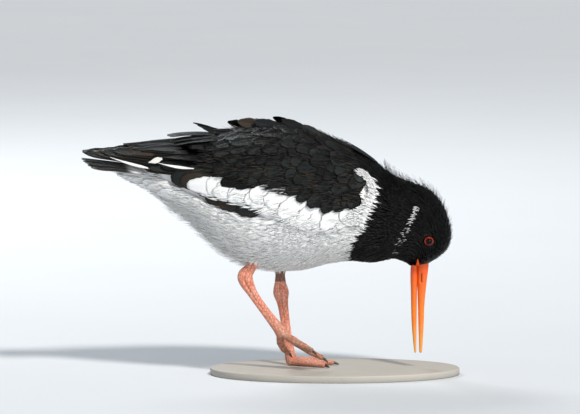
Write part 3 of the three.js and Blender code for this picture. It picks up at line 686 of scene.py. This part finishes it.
def make_body_coat():
    make_head_coat()
    make_collar()
    places, rounds = scatter(6.5, 12.6, 2.5, 2.1)
    body_feathers("coat_breast", places, rounds, (10.5, 2.8), lift=0.9, turn=6, tones=(0.0, 0.4), tip=0.2)
    places, rounds = scatter(0.4, 10.0, 3.6, 3.4)
    back = ramp(9.0 - places, 0, 6)
    body_feathers("coat_belly", places, rounds, (mix(14, 19, back), mix(4.0, 5.2, back)),
                  lift=mix(0.7, 1.2, back), turn=8, ragged=0.12, tones=(0.1, 0.55), tip=0.15, camber=0.06,
                  stations=6, columns=5)
    places, rounds = scatter(0.5, 10.4, 2.1, 1.9)
    back = ramp(8.0 - places, 0, 6)
    for side, half in (("left", rounds < 0), ("right", rounds >= 0)):
        rear = back[half]
        body_feathers(f"coat_belly_hair_{side}", places[half], rounds[half],
                      (mix(10, 16, rear), mix(0.8, 1.1, rear)), lift=mix(1.0, 2.4, rear), turn=9,
                      ragged=0.15, tones=(0.0, 0.7), tip=0.06)
    places, rounds = scatter(7.5, 12.6, 1.1, 1.2)
    body_feathers("coat_shoulder", places, rounds, (4.6, 1.5), lift=3.6, turn=8, tones=(0.0, 0.3),
                  tip=0.12, zone=CRESCENT, white=1.0, start=2.0)
    places, rounds = scatter(2.0, 12.3, 2.2, 2.2)
    body_feathers("coat_wing_barbs", places, rounds, (8.5, 1.0), lift=3.7, turn=10, tones=(0.0, 1.2),
                  tip=0.1, zone=WING_BLACK, white=0.0, start=2.0)
    places, rounds = scatter(2.5, 11.0, 2.2, 2.2)
    body_feathers("coat_wing_white_barbs", places, rounds, (10, 1.1), lift=3.0, turn=12,
                  tones=(0.0, 0.4), tip=0.1, zone=WING_WHITE, white=1.0, start=1.2)
    places, rounds = scatter(2.5, 8.6, 2.4, 2.2)
    keep = np.abs(rounds) > 118
    low = ramp(np.abs(rounds[keep]), 118, 165)
    body_feathers("coat_vent", places[keep], rounds[keep], (mix(12, 17, low), 1.1),
                  lift=mix(1.5, 5.0, low) * ramp(8.0 - places[keep], 0, 3), turn=6, ragged=0.2,
                  tones=(0.1, 0.8), tip=0.06, stations=6)


# Wings and tail

# Rows of a folded wing's feathers from the hindmost up. Roots and tips run through guide points, each the
# distance along the bird and the degrees round it. Lift is how high a feather lies at its root and its tip.
WING_TIERS = {
    "secondaries": dict(
        count=9, width=15, lift=(0.2, 1.3), tone=(0.75, 1.0), shape="broad",
        roots=[[-96, 72], [-64, 80], [-34, 88]], tips=[[-140, 93], [-108, 99], [-78, 102]]),
    "greater_coverts_under": dict(
        count=13, width=16, lift=(0.6, 1.5), tone=(0.0, 0.35), shape="broad", white=1,
        roots=[[-84, 76], [-48, 80], [-12, 88], [16, 86]],
        tips=[[-108, 91], [-68, 94], [-30, 110], [5, 108]]),
    "greater_coverts": dict(
        count=14, width=14.5, lift=(0.8, 1.9), tone=(0.0, 0.35), white=1,
        roots=[[-88, 80], [-48, 82], [-12, 90], [17, 88]],
        tips=[[-121, 94], [-76, 94], [-36, 111], [1, 111]]),
    "median_coverts": dict(
        count=13, width=12.5, lift=(1.3, 2.6), tone=(0.1, 0.7),
        roots=[[-66, 68], [-34, 70], [0, 85], [17, 77]], tips=[[-91, 85], [-55, 81], [-14, 98], [11, 91]]),
    "lesser_coverts_low": dict(
        count=13, width=12, lift=(1.5, 2.8), tone=(0.2, 0.8),
        roots=[[-74, 58], [-32, 60], [24, 66]], tips=[[-102, 73], [-55, 74], [8, 86]]),
    "lesser_coverts_mid": dict(
        count=13, width=12, lift=(1.6, 3.0), tone=(0.1, 0.7),
        roots=[[-72, 48], [-26, 50], [25, 57]], tips=[[-100, 61], [-49, 64], [10, 75]]),
    "lesser_coverts_top": dict(
        count=13, width=12, lift=(1.6, 3.1), tone=(0.1, 0.7),
        roots=[[-76, 38], [-26, 40], [23, 49]], tips=[[-104, 49], [-50, 51], [8, 65]]),
    "scapulars_low": dict(
        count=12, width=13.5, lift=(1.7, 3.2), tone=(0.1, 0.75),
        roots=[[-86, 27], [-30, 28], [17, 40]], tips=[[-121, 38], [-61, 40], [0, 56]]),
    "scapulars_mid": dict(
        count=12, width=13.5, lift=(1.7, 3.3), tone=(0.05, 0.7),
        roots=[[-90, 18], [-34, 19], [16, 29]], tips=[[-125, 27], [-66, 29], [-5, 43]]),
    "scapulars_top": dict(
        count=12, width=13.5, lift=(1.6, 3.3), tone=(0.05, 0.7),
        roots=[[-94, 10], [-40, 10], [16, 17]], tips=[[-129, 16], [-72, 17], [-9, 29]]),
    "mantle": dict(
        count=12, width=12.5, lift=(1.3, 3.0), tone=(0.0, 0.6),
        roots=[[-90, 2], [-30, 2], [36, 5]], tips=[[-119, 5], [-60, 5], [8, 9]]),
}
TIER = dict(white=0, shape="round")  # what a row has unless it says otherwise
SEEN_LOWER = 4.3  # how many degrees further round the side's feathers were measured than they lie

# Long feathers of the wing from root to tip on the right side, with the lean of their upper face to the side.
FLIGHT_GROUPS = {
    "primaries": dict(
        count=8, width=11, lean=0.6, tone=(0.55, 1.0), bow=1.0,
        roots=[[-122, -22, 168], [-116, -20, 179]], tips=[[-212, -8, 182.6], [-176, -13, 184]]),
    "primaries_low": dict(
        count=4, width=10, lean=0.8, tone=(0.6, 0.95), bow=0.5,
        roots=[[-108, -29, 166], [-104, -28, 173]], tips=[[-160, -20, 170.5], [-146, -24, 173]]),
    "tertials": dict(
        count=7, width=14.5, lean=0.5, tone=(0.1, 0.6), bow=0.6, shape="pointed",
        roots=[[-98, -9, 190], [-94, -29, 181]], tips=[[-178, -6, 189], [-148, -22, 179.5]]),
    "tertials_top": dict(
        count=3, width=11.5, lean=0.2, tone=(0.1, 0.6), bow=1.5,
        roots=[[-96, -5, 197], [-94, -18, 194]], tips=[[-141, -6, 196], [-136, -17, 190.5]]),
    "pale_webs": dict(
        count=2, width=2.4, lean=0.92, tone=(0.2, 0.6), bow=-0.8, shape="pointed", white=1,
        roots=[[-152, -23.5, 169.5], [-118, -34, 171]], tips=[[-188, -16, 179], [-149, -27.5, 175.5]]),
    "pale_patch": dict(
        count=1, width=5.5, lean=0.85, tone=(0.5, 0.9), bow=0.0, shape="pointed", white=1,
        roots=[[-144.5, -25, 178.5], [-144.5, -25, 178.5]], tips=[[-156, -23, 175.5], [-156, -23, 175.5]]),
}
FLIGHT_GROUP = dict(white=0, shape="broad")  # what a group has unless it says otherwise

# Feathers of the back that the wind lifts: places as in the tiers, the lift at the tip, and the width.
RUFFLED = [
    dict(side=LEFT, root=(-86, 12), tip=(-117, 9), lift=13.5, width=4.5, tone=0.2),
    dict(side=RIGHT, root=(-86, 8), tip=(-114, 5), lift=11.5, width=4, tone=0.1),
    dict(side=RIGHT, root=(-84, 10), tip=(-110, 8), lift=9, width=5, tone=0.2),
    dict(side=RIGHT, root=(-80, 8), tip=(-104, 6), lift=6.5, width=7, tone=0.35),
    dict(side=LEFT, root=(-64, 8), tip=(-88, 6), lift=9.5, width=12, tone=0.9),
    dict(side=RIGHT, root=(-54, 7), tip=(-80, 5), lift=9.0, width=14, tone=0.95),
    dict(side=RIGHT, root=(-44, 11), tip=(-67, 10), lift=8.0, width=12, tone=0.5),
    dict(side=LEFT, root=(-30, 10), tip=(-52, 10), lift=8.0, width=10, tone=0.4),
    dict(side=RIGHT, root=(-22, 10), tip=(-45, 9), lift=7.5, width=10, tone=0.3),
    dict(side=RIGHT, root=(-8, 14), tip=(-30, 15), lift=6.0, width=10, tone=0.5),
]
ROLL = 0.8  # how far the lifted feathers turn over to the side
# The pale down that shows under the lifted feathers.
FLUFF = dict(low=-100, high=-76, spread=10, count=40, length=9)


def body_paths(side, roots, tips, lift, stations):
    """Centre lines over the body between roots and tips, given as distances along and degrees round."""
    share = shares(stations)[None]
    x = mix(roots[:, :1], tips[:, :1], share)
    angle = mix(roots[:, 1:2], tips[:, 1:2], share) * -side
    place = place_at(x, angle)
    normal = body_normal(place, angle)
    low, high = (for_each(value, len(roots), stations) for value in lift)
    height = mix(low, high, share**1.2)
    return body_point(place, angle) + normal * height[..., None], normal


def make_tier(name, side, tier):
    tier = TIER | tier
    count, stations = tier["count"], 14
    share = shares(count)
    roots = through(tier["roots"], share)
    roots = roots + random.normal(0, 1, (count, 2)) * [1.5, 0.8]
    tips = through(tier["tips"], share) + random.normal(0, 1, (count, 2)) * [2.4, 1.6]
    for ends in (roots, tips):
        ends[:, 1] -= SEEN_LOWER * ramp(ends[:, 1], 20, 70)
    lift = (tier["lift"][0], tier["lift"][1] + random.uniform(-0.3, 0.9, count))
    centre, normal = body_paths(side, roots, tips, lift, stations)
    along = shares(stations)
    half = tier["width"] / 2 * profile(tier["shape"], along, 0.3)[None]
    half = half * random.uniform(0.85, 1.12, (count, 1))
    grown = unwrapped(place_at(roots[:, 0], roots[:, 1]), -side * roots[:, 1])
    feathers(f"{name}_{SIDE_NAMES[side]}", centre, normal, half, white=tier["white"],
             tone=random.uniform(*tier["tone"], count), root=grown, columns=9,
             camber=0.03 if tier["white"] else 0.06, thickness=0.1, ragged=0.08, shaft=0.12,
             material=FEATHER)


def make_flight(name, side, group):
    group = FLIGHT_GROUP | group
    count, stations = group["count"], 18
    share = shares(count)
    way = np.array([1, -side, 1])
    roots, tips = through(group["roots"], share) * way, through(group["tips"], share) * way
    tips += random.normal(0, 0.6, tips.shape)
    along = shares(stations)
    centre = mix(roots[:, None], tips[:, None], along[None, :, None])
    centre[..., 2] += 4 * group["bow"] * along * (1 - along)
    normal = np.broadcast_to([0, side * group["lean"], math.sqrt(1 - group["lean"] ** 2)], centre.shape)
    half = group["width"] / 2 * profile(group["shape"], along, 0.2)[None]
    grown = unwrapped(np.linspace(1.5, 4.0, count), np.full(count, -side * 60.0))
    feathers(f"{name}_{SIDE_NAMES[side]}", centre, normal, half, white=group["white"],
             tone=random.uniform(*group["tone"], count), root=grown,
             columns=9, camber=0.06, thickness=0.15, ragged=0.025, shaft=0.2, material=FEATHER)


def make_ruffled():
    stations = 14
    along = shares(stations)
    for i, one in enumerate(RUFFLED):
        roots, tips = np.array([one["root"]], float), np.array([one["tip"]], float)
        centre, normal = body_paths(one["side"], roots, tips, (1.0, one["lift"]), stations)
        normal = unit(normal + [0, one["side"] * ROLL, 0])
        half = one["width"] / 2 * profile("round", along, 0.2)[None]
        feathers(f"ruffled_{i}", centre, normal, half, white=0, tone=one["tone"],
                 root=unwrapped(place_at(roots[:, 0], roots[:, 1]), -one["side"] * roots[:, 1]),
                 columns=9, camber=0.12, thickness=0.15, ragged=0.06, shaft=0.15, material=FEATHER)
    count = FLUFF["count"]
    places = place_at(random.uniform(FLUFF["low"], FLUFF["high"], count), np.full(count, 8.0))
    body_feathers("fluff", places, random.uniform(-FLUFF["spread"], FLUFF["spread"], count),
                  (FLUFF["length"], 1.1), lift=random.uniform(3.5, 7.0, count), ragged=0.2, clear=False,
                  white=0.4, tones=(0.2, 0.6), tip=0.08, start=2.0, stations=6)


TAIL = dict(feathers=12, width=13, root_x=-147, root_spread=9, root_z=(167.5, 165), tip_x=(-213, -204),
            tip_spread=23, tip_z=(176.5, 171), black_from=0.42, bow=2.4, lean=0.25, step=0.35)
# The small feathers over the tail's root: their middle in degrees round, the lift of their tips, the rows.
TAIL_COVERTS = [("tail_coverts_top", 0, 2.0, 3), ("tail_coverts_under", 180, 2.4, 5)]
COVERT = dict(in_row=9, fan=62, from_place=0.9, to_place=2.6, length=(22, 30), half_width=4.6, sunk=0.8)


def make_tail():
    count, stations = TAIL["feathers"], 20
    side = np.linspace(-1, 1, count)
    bend = side**2
    roots = np.stack([np.full(count, TAIL["root_x"]), TAIL["root_spread"] * side,
                      mix(*TAIL["root_z"], bend)], -1)
    tips = np.stack([mix(*TAIL["tip_x"], bend), TAIL["tip_spread"] * side, mix(*TAIL["tip_z"], bend)], -1)
    tips[:, 2] -= TAIL["step"] * (np.arange(count) % 2)
    along = shares(stations)
    centre = mix(roots[:, None], tips[:, None], along[None, :, None])
    centre[..., 2] += TAIL["bow"] * along * (1 - along)
    lean = TAIL["lean"] * side
    normal = np.stack([np.zeros(count), lean, np.sqrt(1 - lean**2)], -1)[:, None] * np.ones((1, stations, 1))
    half = TAIL["width"] / 2 * profile("broad", along, 0.3)[None]
    white = 1 - ramp(along, TAIL["black_from"] - 0.04, TAIL["black_from"] + 0.04)[None]
    feathers("tail_feathers", centre, normal, half, white=white, tone=random.uniform(0.3, 0.9, count),
             root=unwrapped(np.full(count, 1.0), side * 40), columns=9, camber=0.06, thickness=0.15,
             ragged=0.02, shaft=0.2, material=FEATHER)
    for name, middle, lift, rows in TAIL_COVERTS:
        make_tail_coverts(name, middle, lift, rows)


def make_tail_coverts(name, middle, lift, rows):
    in_row, fan, stations = COVERT["in_row"], COVERT["fan"], 12
    count = rows * in_row
    places = np.repeat(np.linspace(COVERT["from_place"], COVERT["to_place"], rows), in_row)
    rounds = middle + np.tile(np.linspace(-fan, fan, in_row), rows) + random.normal(0, 3, count)
    length = random.uniform(*COVERT["length"], count)
    turn = random.normal(0, 4, count)
    centre, normal = on_body(places, rounds, length, turn, (-COVERT["sunk"], lift), stations)
    half = COVERT["half_width"] * profile("round", shares(stations), 0.2)[None]
    feathers(name, centre, normal, half, white=1, tone=random.uniform(0.0, 0.5, count),
             root=unwrapped(places, rounds), columns=7, camber=0.10, thickness=0.12, ragged=0.08, shaft=0.08,
             material=FEATHER)


def make_wings():
    for side in (RIGHT, LEFT):
        for name, tier in WING_TIERS.items():
            make_tier(name, side, tier)
        for name, group in FLIGHT_GROUPS.items():
            make_flight(name, side, group)
    make_ruffled()


# Eyes and bill


def eye_frame(side):
    """The middle of an eyeball and the way it looks."""
    place, angle = EYE_PLACE
    out = body_normal(place, angle) * [1, -side, 1]
    surface = EYE_SPOT * [1, -side, 1]
    return surface - out * (EYE["radius"] - EYE["stand"]), out


def make_eye(side):
    name = SIDE_NAMES[side]
    centre, out = eye_frame(side)
    aside = unit(np.cross(out, [0, 0, 1]))
    up = np.cross(aside, out)
    angles = np.linspace(0.03, np.pi - 0.03, 33)
    turns, sides = 48, 16
    turn = full_turn(turns)
    circle = np.cos(turn)[:, None] * aside + np.sin(turn)[:, None] * up
    rings = np.sin(angles)[:, None, None] * circle + np.cos(angles)[:, None, None] * out
    ball = loft(f"eyeball_{name}", centre + EYE["radius"] * rings, eye_ball(centre, out))
    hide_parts(f"eye_{name}")
    small = full_turn(sides)
    level = EYE["radius"] - EYE["stand"] + LIDS["level"]
    radius = LIDS["radius"] + LIDS["thick"] * np.cos(small)[None] * (1 + 0.15 * np.cos(2 * turn))[:, None]
    depth = level + LIDS["thick"] * np.sin(small)
    flat = np.cos(turn)[:, None] * aside + np.sin(turn)[:, None] * up * LIDS["closed"]
    points = centre + radius[..., None] * flat[:, None] + depth[None, :, None] * out
    i, j = np.meshgrid(np.arange(turns), np.arange(sides), indexing="ij")
    here, after = i * sides, (i + 1) % turns * sides
    corners = np.stack([here + j, here + (j + 1) % sides, after + (j + 1) % sides, after + j], -1)
    add_mesh(f"orbital_ring_{name}", points.reshape(-1, 3), corners.reshape(-1), np.full(turns * sides, 4),
             EYE_RING)


UPPER_BILL = dict(outer=[79.2, 77.6, 76.2, 75.2, 74.8, 74.2, 73.4],
                  inner=[69.2, 69.2, 69.5, 69.9, 70.2, 70.6, 71])
LOWER_BILL = dict(outer=[63.6, 63.4, 63.8, 64.1, 64.6, 65.6, 66.9],
                  inner=[69.6, 69.5, 69.1, 68.9, 68.8, 68.7, 68.5])
BILL_HALF_WIDTH = [5.2, 4, 3.2, 2.6, 2.1, 1.6, 1.05]


def make_bill(name, edges, node):
    stations, around = 160, 56
    share = shares(stations)
    lines = (edges["outer"], edges["inner"], BILL_HALF_WIDTH)
    outer, inner, wide = (through(np.array(line)[:, None], share)[:, 0] for line in lines)
    fade = np.sqrt(np.clip((1 - share) / 0.012, 0.04, 1))
    turn = full_turn(around)
    cos, sin = np.cos(turn), np.sin(turn)
    deep = (np.abs(outer - inner) / 2 * fade)[:, None]
    x = ((outer + inner) / 2)[:, None] + deep * np.sign(cos) * np.abs(cos) ** 0.9
    y = (wide * fade)[:, None] * np.sign(sin) * np.abs(sin) ** 0.85
    slope = 0.14 * np.clip(1 - share * 12, 0, 1)
    root = BILL["top"] + BILL["sunk"]
    z = root - (share * (root - BILL["tip"]))[:, None] + slope[:, None] * (x - BILL["rear"])
    if node == "bill_upper":
        over = np.abs(z - (NOSTRIL["low"] + NOSTRIL["high"]) / 2) / ((NOSTRIL["high"] - NOSTRIL["low"]) / 2)
        slit = np.exp(-(((x - NOSTRIL["x"]) / NOSTRIL["half"]) ** 2)) * (1 - ramp(over, 0.75, 1.05))
        y = y - np.sign(y) * slit * NOSTRIL["depth"]
    piece = loft(name, np.stack([x, y, z], -1), BILL_HORN)
    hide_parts(node)


GAPE = dict(line=[(69.3, 83.7), (69.5, 87.2), (69.2, 91.1)], radius=(2.2, 0.3), flatness=0.5)


def make_gape():
    """The strip of bare orange skin at each corner of the mouth."""
    for side in (RIGHT, LEFT):
        share = shares(14)
        spots = [body_point(*spot_on_side(x, z)) for x, z in through(GAPE["line"], share)]
        centre = np.array(spots) * [1, -side, 1]
        radius = mix(*GAPE["radius"], share)
        turn = full_turn(12)
        circle = np.stack([np.cos(turn), GAPE["flatness"] * np.sin(turn), 0 * turn], -1)
        rings = centre[:, None] + radius[:, None, None] * circle[None]
        loft(f"gape_{SIDE_NAMES[side]}", rings, BILL_HORN)


# Legs and feet: stations (x, y, z, radius fore and aft, radius from side to side)

LEGS = {
    "left": dict(
        stations=[
            (-45, 15, 104, 12, 10), (-45.6, 14.5, 92, 8.5, 7.5), (-46, 14, 80.5, 4.4, 4),
            (-46, 13.4, 71, 4.6, 4), (-45.4, 13.1, 61.5, 6.6, 4.9), (-43.8, 12.6, 51, 4.5, 3.4),
            (-41.2, 12.3, 32, 3.9, 2.9), (-38.2, 12, 11.5, 4.4, 3.6), (-36.6, 12, 5, 5.2, 5),
            (-35.4, 12, 0.6, 4.6, 4.6)],
        toes=dict(
            inner=[(-36, 10.5, 3.4, 3.2, 3.4), (-27, 5.5, 3, 2.8, 3), (-17, 0, 2.3, 2.2, 2.6),
                   (-8, -5, 1.8, 1.7, 1.9)],
            middle=[(-35.5, 12, 3.6, 3.4, 3.6), (-24, 12.5, 3.1, 2.9, 3.2), (-12, 13, 2.4, 2.3, 2.7),
                    (-0.5, 13, 1.8, 1.7, 1.9)],
            outer=[(-36, 13.5, 3.4, 3.2, 3.4), (-28, 20, 3, 2.8, 3), (-19, 26.5, 2.3, 2.2, 2.6),
                   (-10.5, 32, 1.8, 1.7, 1.9)])),
    "right": dict(
        stations=[
            (-58, -19, 110, 12, 10), (-63, -19, 98, 8.8, 7.6), (-68, -19, 88, 4.9, 4.5),
            (-71.6, -19, 83, 4.8, 4.1), (-75.4, -18.9, 75.6, 6.4, 4.8), (-69, -18.6, 62.3, 4.2, 3.2),
            (-59.5, -18, 48.5, 3.8, 2.9), (-48.2, -17.3, 33.5, 4.5, 3.4), (-44.8, -17, 28.8, 5.2, 4.8),
            (-41.5, -17, 25.6, 4.4, 4.8)],
        toes=dict(
            inner=[(-46, -15.6, 28.5, 3.2, 3.2), (-46, -11.5, 20.5, 2.9, 3), (-43.2, -7.5, 14, 2.5, 2.7),
                   (-38.6, -4.6, 10, 1.9, 2)],
            middle=[(-44.5, -17, 28.5, 3.4, 3.4), (-33, -17.5, 20.8, 3, 3.1), (-21, -18.5, 13.2, 2.6, 2.8),
                    (-9.5, -19, 7.4, 1.9, 2)],
            outer=[(-44.5, -18.6, 28.8, 3.2, 3.3), (-35, -23, 23.6, 2.9, 3), (-26, -27, 18.8, 2.5, 2.7),
                   (-18.5, -30, 15, 1.9, 2)])),
}
CLAW = dict(length=5.6, radius=1.25, hook=1.8, sunk=1.4)
TOE_JOINTS = (0.36, 0.68, 0.95)  # shares of a toe's length
WEBS = {("inner", "middle"): 0.3, ("middle", "outer"): 0.5}  # how far each web reaches along its toes
WEB = dict(thickness=1.2, pull=4.5)
THIGH = dict(count=420, length=(6, 9), half_width=0.8, from_share=0.08, to_share=0.52)
RAISED = 2.0  # the lifted foot is drawn higher, as it is nearer than the middle


def limb_rings(stations, count, around, swell=None, close=True, groove=0.0):
    """Rings round a limb, with rounded ends, swelling and a groove on each side of its upper part."""
    share = 0.5 - 0.5 * np.cos(np.linspace(0, np.pi, count))
    path = through(stations, share)
    centre, deep, wide = path[:, :3], path[:, 3], path[:, 4]
    tangent = unit(np.gradient(centre, axis=0))
    across = unit(np.array([0, 1, 0]) - tangent * tangent[:, 1:2])
    fore = np.cross(across, tangent)
    size = np.ones(count)
    if swell is not None:
        size = 1 + swell(share)
    if close:
        size *= np.sqrt(np.clip((1 - share) / 0.03, 0.02, 1))
    turn = full_turn(around)
    upper = 1 - ramp(share, 0.55, 0.8)[:, None]
    dent = 1 - groove * np.exp(-((np.cos(turn - 0.2) / 0.2) ** 2))[None] * upper
    size = size[:, None] * dent
    return (centre[:, None] + (deep[:, None] * size * np.cos(turn))[..., None] * fore[:, None]
            + (wide[:, None] * size * np.sin(turn))[..., None] * across[:, None])


def make_claw(name, toe, node):
    before, last = np.array(toe[-2]), np.array(toe[-1])
    along = unit(last[:3] - before[:3])
    share = shares(14)
    centre = last[:3] + (CLAW["length"] * share - CLAW["sunk"])[:, None] * along
    centre[:, 2] -= CLAW["hook"] * share**2
    radius = CLAW["radius"] * np.sqrt(np.clip(1 - share**1.6, 0.01, 1))
    centre[:, 2] = np.maximum(centre[:, 2], radius + 0.05)
    stations = np.column_stack([centre, radius, radius * 0.9])
    piece = loft(name, limb_rings(stations, 24, 16, close=False), CLAW_HORN)
    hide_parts(node)


def flat_web(toes, share):
    """Rings of a thin web between two toes, over a share of their length."""
    steps = np.linspace(0, share, 14)
    first, second = (through(toe, steps)[:, :3] for toe in toes)
    across = shares(13)
    sheet = mix(first[:, None], second[:, None], across[None, :, None])
    pull = (4 * across * (1 - across))[None] * (steps / share)[:, None]
    back = unit(first[0] - first[-1])
    sheet = sheet + pull[..., None] * back * WEB["pull"]
    under = sheet[:, 1:-1][:, ::-1].copy()
    under[..., 2] -= WEB["thickness"]
    sheet[..., 2] += 0.1
    return np.concatenate([sheet, under], 1)


def toe_swelling(share):
    """How much thicker a toe is at its joints."""
    return 0.10 * sum(np.exp(-(((share - at) / 0.05) ** 2)) for at in TOE_JOINTS)


def make_leg(name):
    leg = LEGS[name]
    raised = name == "right"
    skin = MUDDY_LEG if raised else CLEAN_LEG
    up = np.array([0, 0, RAISED * raised, 0, 0])
    shank = loft(f"leg_{name}", limb_rings(leg["stations"] + up, 160, 48, groove=0.30), skin)
    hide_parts(f"shank_{name}", f"tarsus_{name}", f"foot_{name}", f"thigh_{name}")
    toes = {toe: np.array(stations) + up for toe, stations in leg["toes"].items()}
    for toe, stations in toes.items():
        rings = limb_rings(stations, 60, 24, swell=toe_swelling)
        rings[..., 2] = np.maximum(rings[..., 2], 0.02)
        loft(f"toe_{name}_{toe}", rings, skin)
        make_claw(f"claw_piece_{name}_{toe}", stations, f"claw_{name}_{toe}")
    for pair, share in WEBS.items():
        rings = flat_web([toes[toe] for toe in pair], share)
        rings[..., 2] = np.maximum(rings[..., 2], 0.03)
        loft(f"web_{name}_{pair[0]}", rings, skin)
    make_thigh_feathers(name, np.array(leg["stations"][:4]) + up)


def make_thigh_feathers(name, stations):
    """Short white feathers down to where the leg is bare."""
    count = THIGH["count"]
    share = random.uniform(THIGH["from_share"], THIGH["to_share"], count)
    angle = random.uniform(0, 2 * np.pi, count)
    length = random.uniform(*THIGH["length"], count)
    along = shares(6)
    steps = np.clip(share[:, None] + along[None] * (length / 30)[:, None], 0, 1)
    path = through(stations, steps)
    tangent = unit(np.gradient(path[..., :3], axis=1))
    across = unit(np.array([0, 1, 0]) - tangent * tangent[..., 1:2])
    fore = np.cross(across, tangent)
    out = np.cos(angle)[:, None, None] * fore * path[..., 3:4]
    out = out + np.sin(angle)[:, None, None] * across * path[..., 4:5]
    normal = unit(out)
    centre = path[..., :3] + out + normal * (0.9 * along - 0.3)[None, :, None]
    half = THIGH["half_width"] * profile("pointed", along, 0.1)[None]
    root = unwrapped(5 + 3 * share, np.degrees(angle) - 180)
    feathers(f"thigh_feathers_{name}", centre, normal, half, white=1, tone=random.uniform(0.5, 1.0, count),
             root=root, ragged=0.15, material=DOWN)


def make_base():
    length, width, thickness, bevel = (BASE[key] for key in ("length", "width", "thickness", "bevel"))
    edge = [(0.0, 0.0), (0.5, 0.0), (0.985, 0.0), (1.0, 0.6)]
    for angle in np.linspace(0, np.pi / 2, 8):
        inwards = bevel * (1 - math.cos(angle)) / (length / 2)
        edge.append((1 - inwards, thickness - bevel + bevel * math.sin(angle)))
    edge += [(0.5, thickness), (0.0, thickness)]
    turn = full_turn(128)
    reach, level = np.array(edge).T[:, :, None]
    reach = reach + 1e-4
    x, y = reach * length / 2 * np.cos(turn), reach * width / 2 * np.sin(turn)
    rings = np.stack([x, y, level - SOLE + 0 * turn], -1)
    piece = loft("base_piece", rings, STAND_PLASTIC)
    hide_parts("stand_base")


# Camera, light and floor

PHOTO = dict(width=580, height=414, mm_per_pixel=0.84, zero_x=335, ground_row=368)
VIEW = dict(distance=5.0, elevation=6.0, sensor=36)
LIGHTS = [
    dict(name="key", kind="SUN", location=(1.1, -1.7, 2.3), size=0.16, power=2.8, tint=(1.0, 0.97, 0.93)),
    dict(name="fill", kind="AREA", location=(1.6, -2.6, 0.35), size=1.4, power=34, tint=(0.95, 0.97, 1.0)),
    dict(name="rim", kind="AREA", location=(-0.9, 1.7, 1.5), size=0.8, power=24, tint=(0.95, 0.98, 1.0)),
]
AIM = (0, 0, 0.13)  # where the lights point, in metres
SKY = dict(tint=(0.75, 0.82, 0.9), strength=0.36)
FLOOR_HALF = 12.0


def make_camera():
    middle_x = (PHOTO["width"] / 2 - PHOTO["zero_x"]) * PHOTO["mm_per_pixel"] * MM
    middle_z = (PHOTO["ground_row"] - PHOTO["height"] / 2) * PHOTO["mm_per_pixel"] * MM + SOLE * MM
    tilt = math.radians(VIEW["elevation"])
    data = bpy.data.cameras.new("camera")
    data.sensor_width = VIEW["sensor"]
    data.lens = VIEW["sensor"] * VIEW["distance"] / (PHOTO["width"] * PHOTO["mm_per_pixel"] * MM)
    data.clip_end = 50
    camera = bpy.data.objects.new("camera", data)
    back, up = VIEW["distance"] * math.cos(tilt), VIEW["distance"] * math.sin(tilt)
    camera.location = (middle_x, -back, middle_z + up)
    camera.rotation_euler = (math.pi / 2 - tilt, 0, 0)
    bpy.context.scene.collection.objects.link(camera)
    bpy.context.scene.camera = camera


def make_light(name, kind, location, size, power, tint):
    data = bpy.data.lights.new(name, kind)
    if kind == "AREA":
        data.size = size
    else:
        data.angle = size
    data.energy = power
    data.color = tint
    lamp = bpy.data.objects.new(name, data)
    lamp.location = location
    aim = np.array(AIM) - np.array(location, float)
    flat = math.hypot(aim[0], aim[1])
    lamp.rotation_euler = (math.atan2(flat, -aim[2]), 0, math.atan2(aim[1], aim[0]) - math.pi / 2)
    bpy.context.scene.collection.objects.link(lamp)


def make_studio():
    half = FLOOR_HALF
    corners = [(-half, -half, 0), (half, -half, 0), (half, half, 0), (-half, half, 0)]
    mesh = bpy.data.meshes.new("floor")
    mesh.from_pydata(corners, [], [(0, 1, 2, 3)])
    floor = bpy.data.objects.new("floor", mesh)
    bpy.context.scene.collection.objects.link(floor)
    n = Nodes("floor")
    seen = n.blend(n.noise(6.0, 2.0, n.place), colour(0.66, 0.69, 0.72), colour(0.70, 0.72, 0.74))
    mesh.materials.append(n.finish(Base_Color=seen, Roughness=0.8))
    for light in LIGHTS:
        make_light(**light)
    world = bpy.data.worlds.new("world")
    world.use_nodes = True
    sky = world.node_tree.nodes["Background"].inputs
    sky[0].default_value = colour(*SKY["tint"])
    sky[1].default_value = SKY["strength"]
    bpy.context.scene.world = world
    bpy.context.scene.view_settings.view_transform = "Standard"


make_camera()
make_studio()
make_skin()
make_body_coat()
make_wings()
make_tail()
for eye_side in (RIGHT, LEFT):
    make_eye(eye_side)
make_bill("bill_top", UPPER_BILL, "bill_upper")
make_bill("bill_bottom", LOWER_BILL, "bill_lower")
make_gape()
for leg_name in LEGS:
    make_leg(leg_name)
make_base()
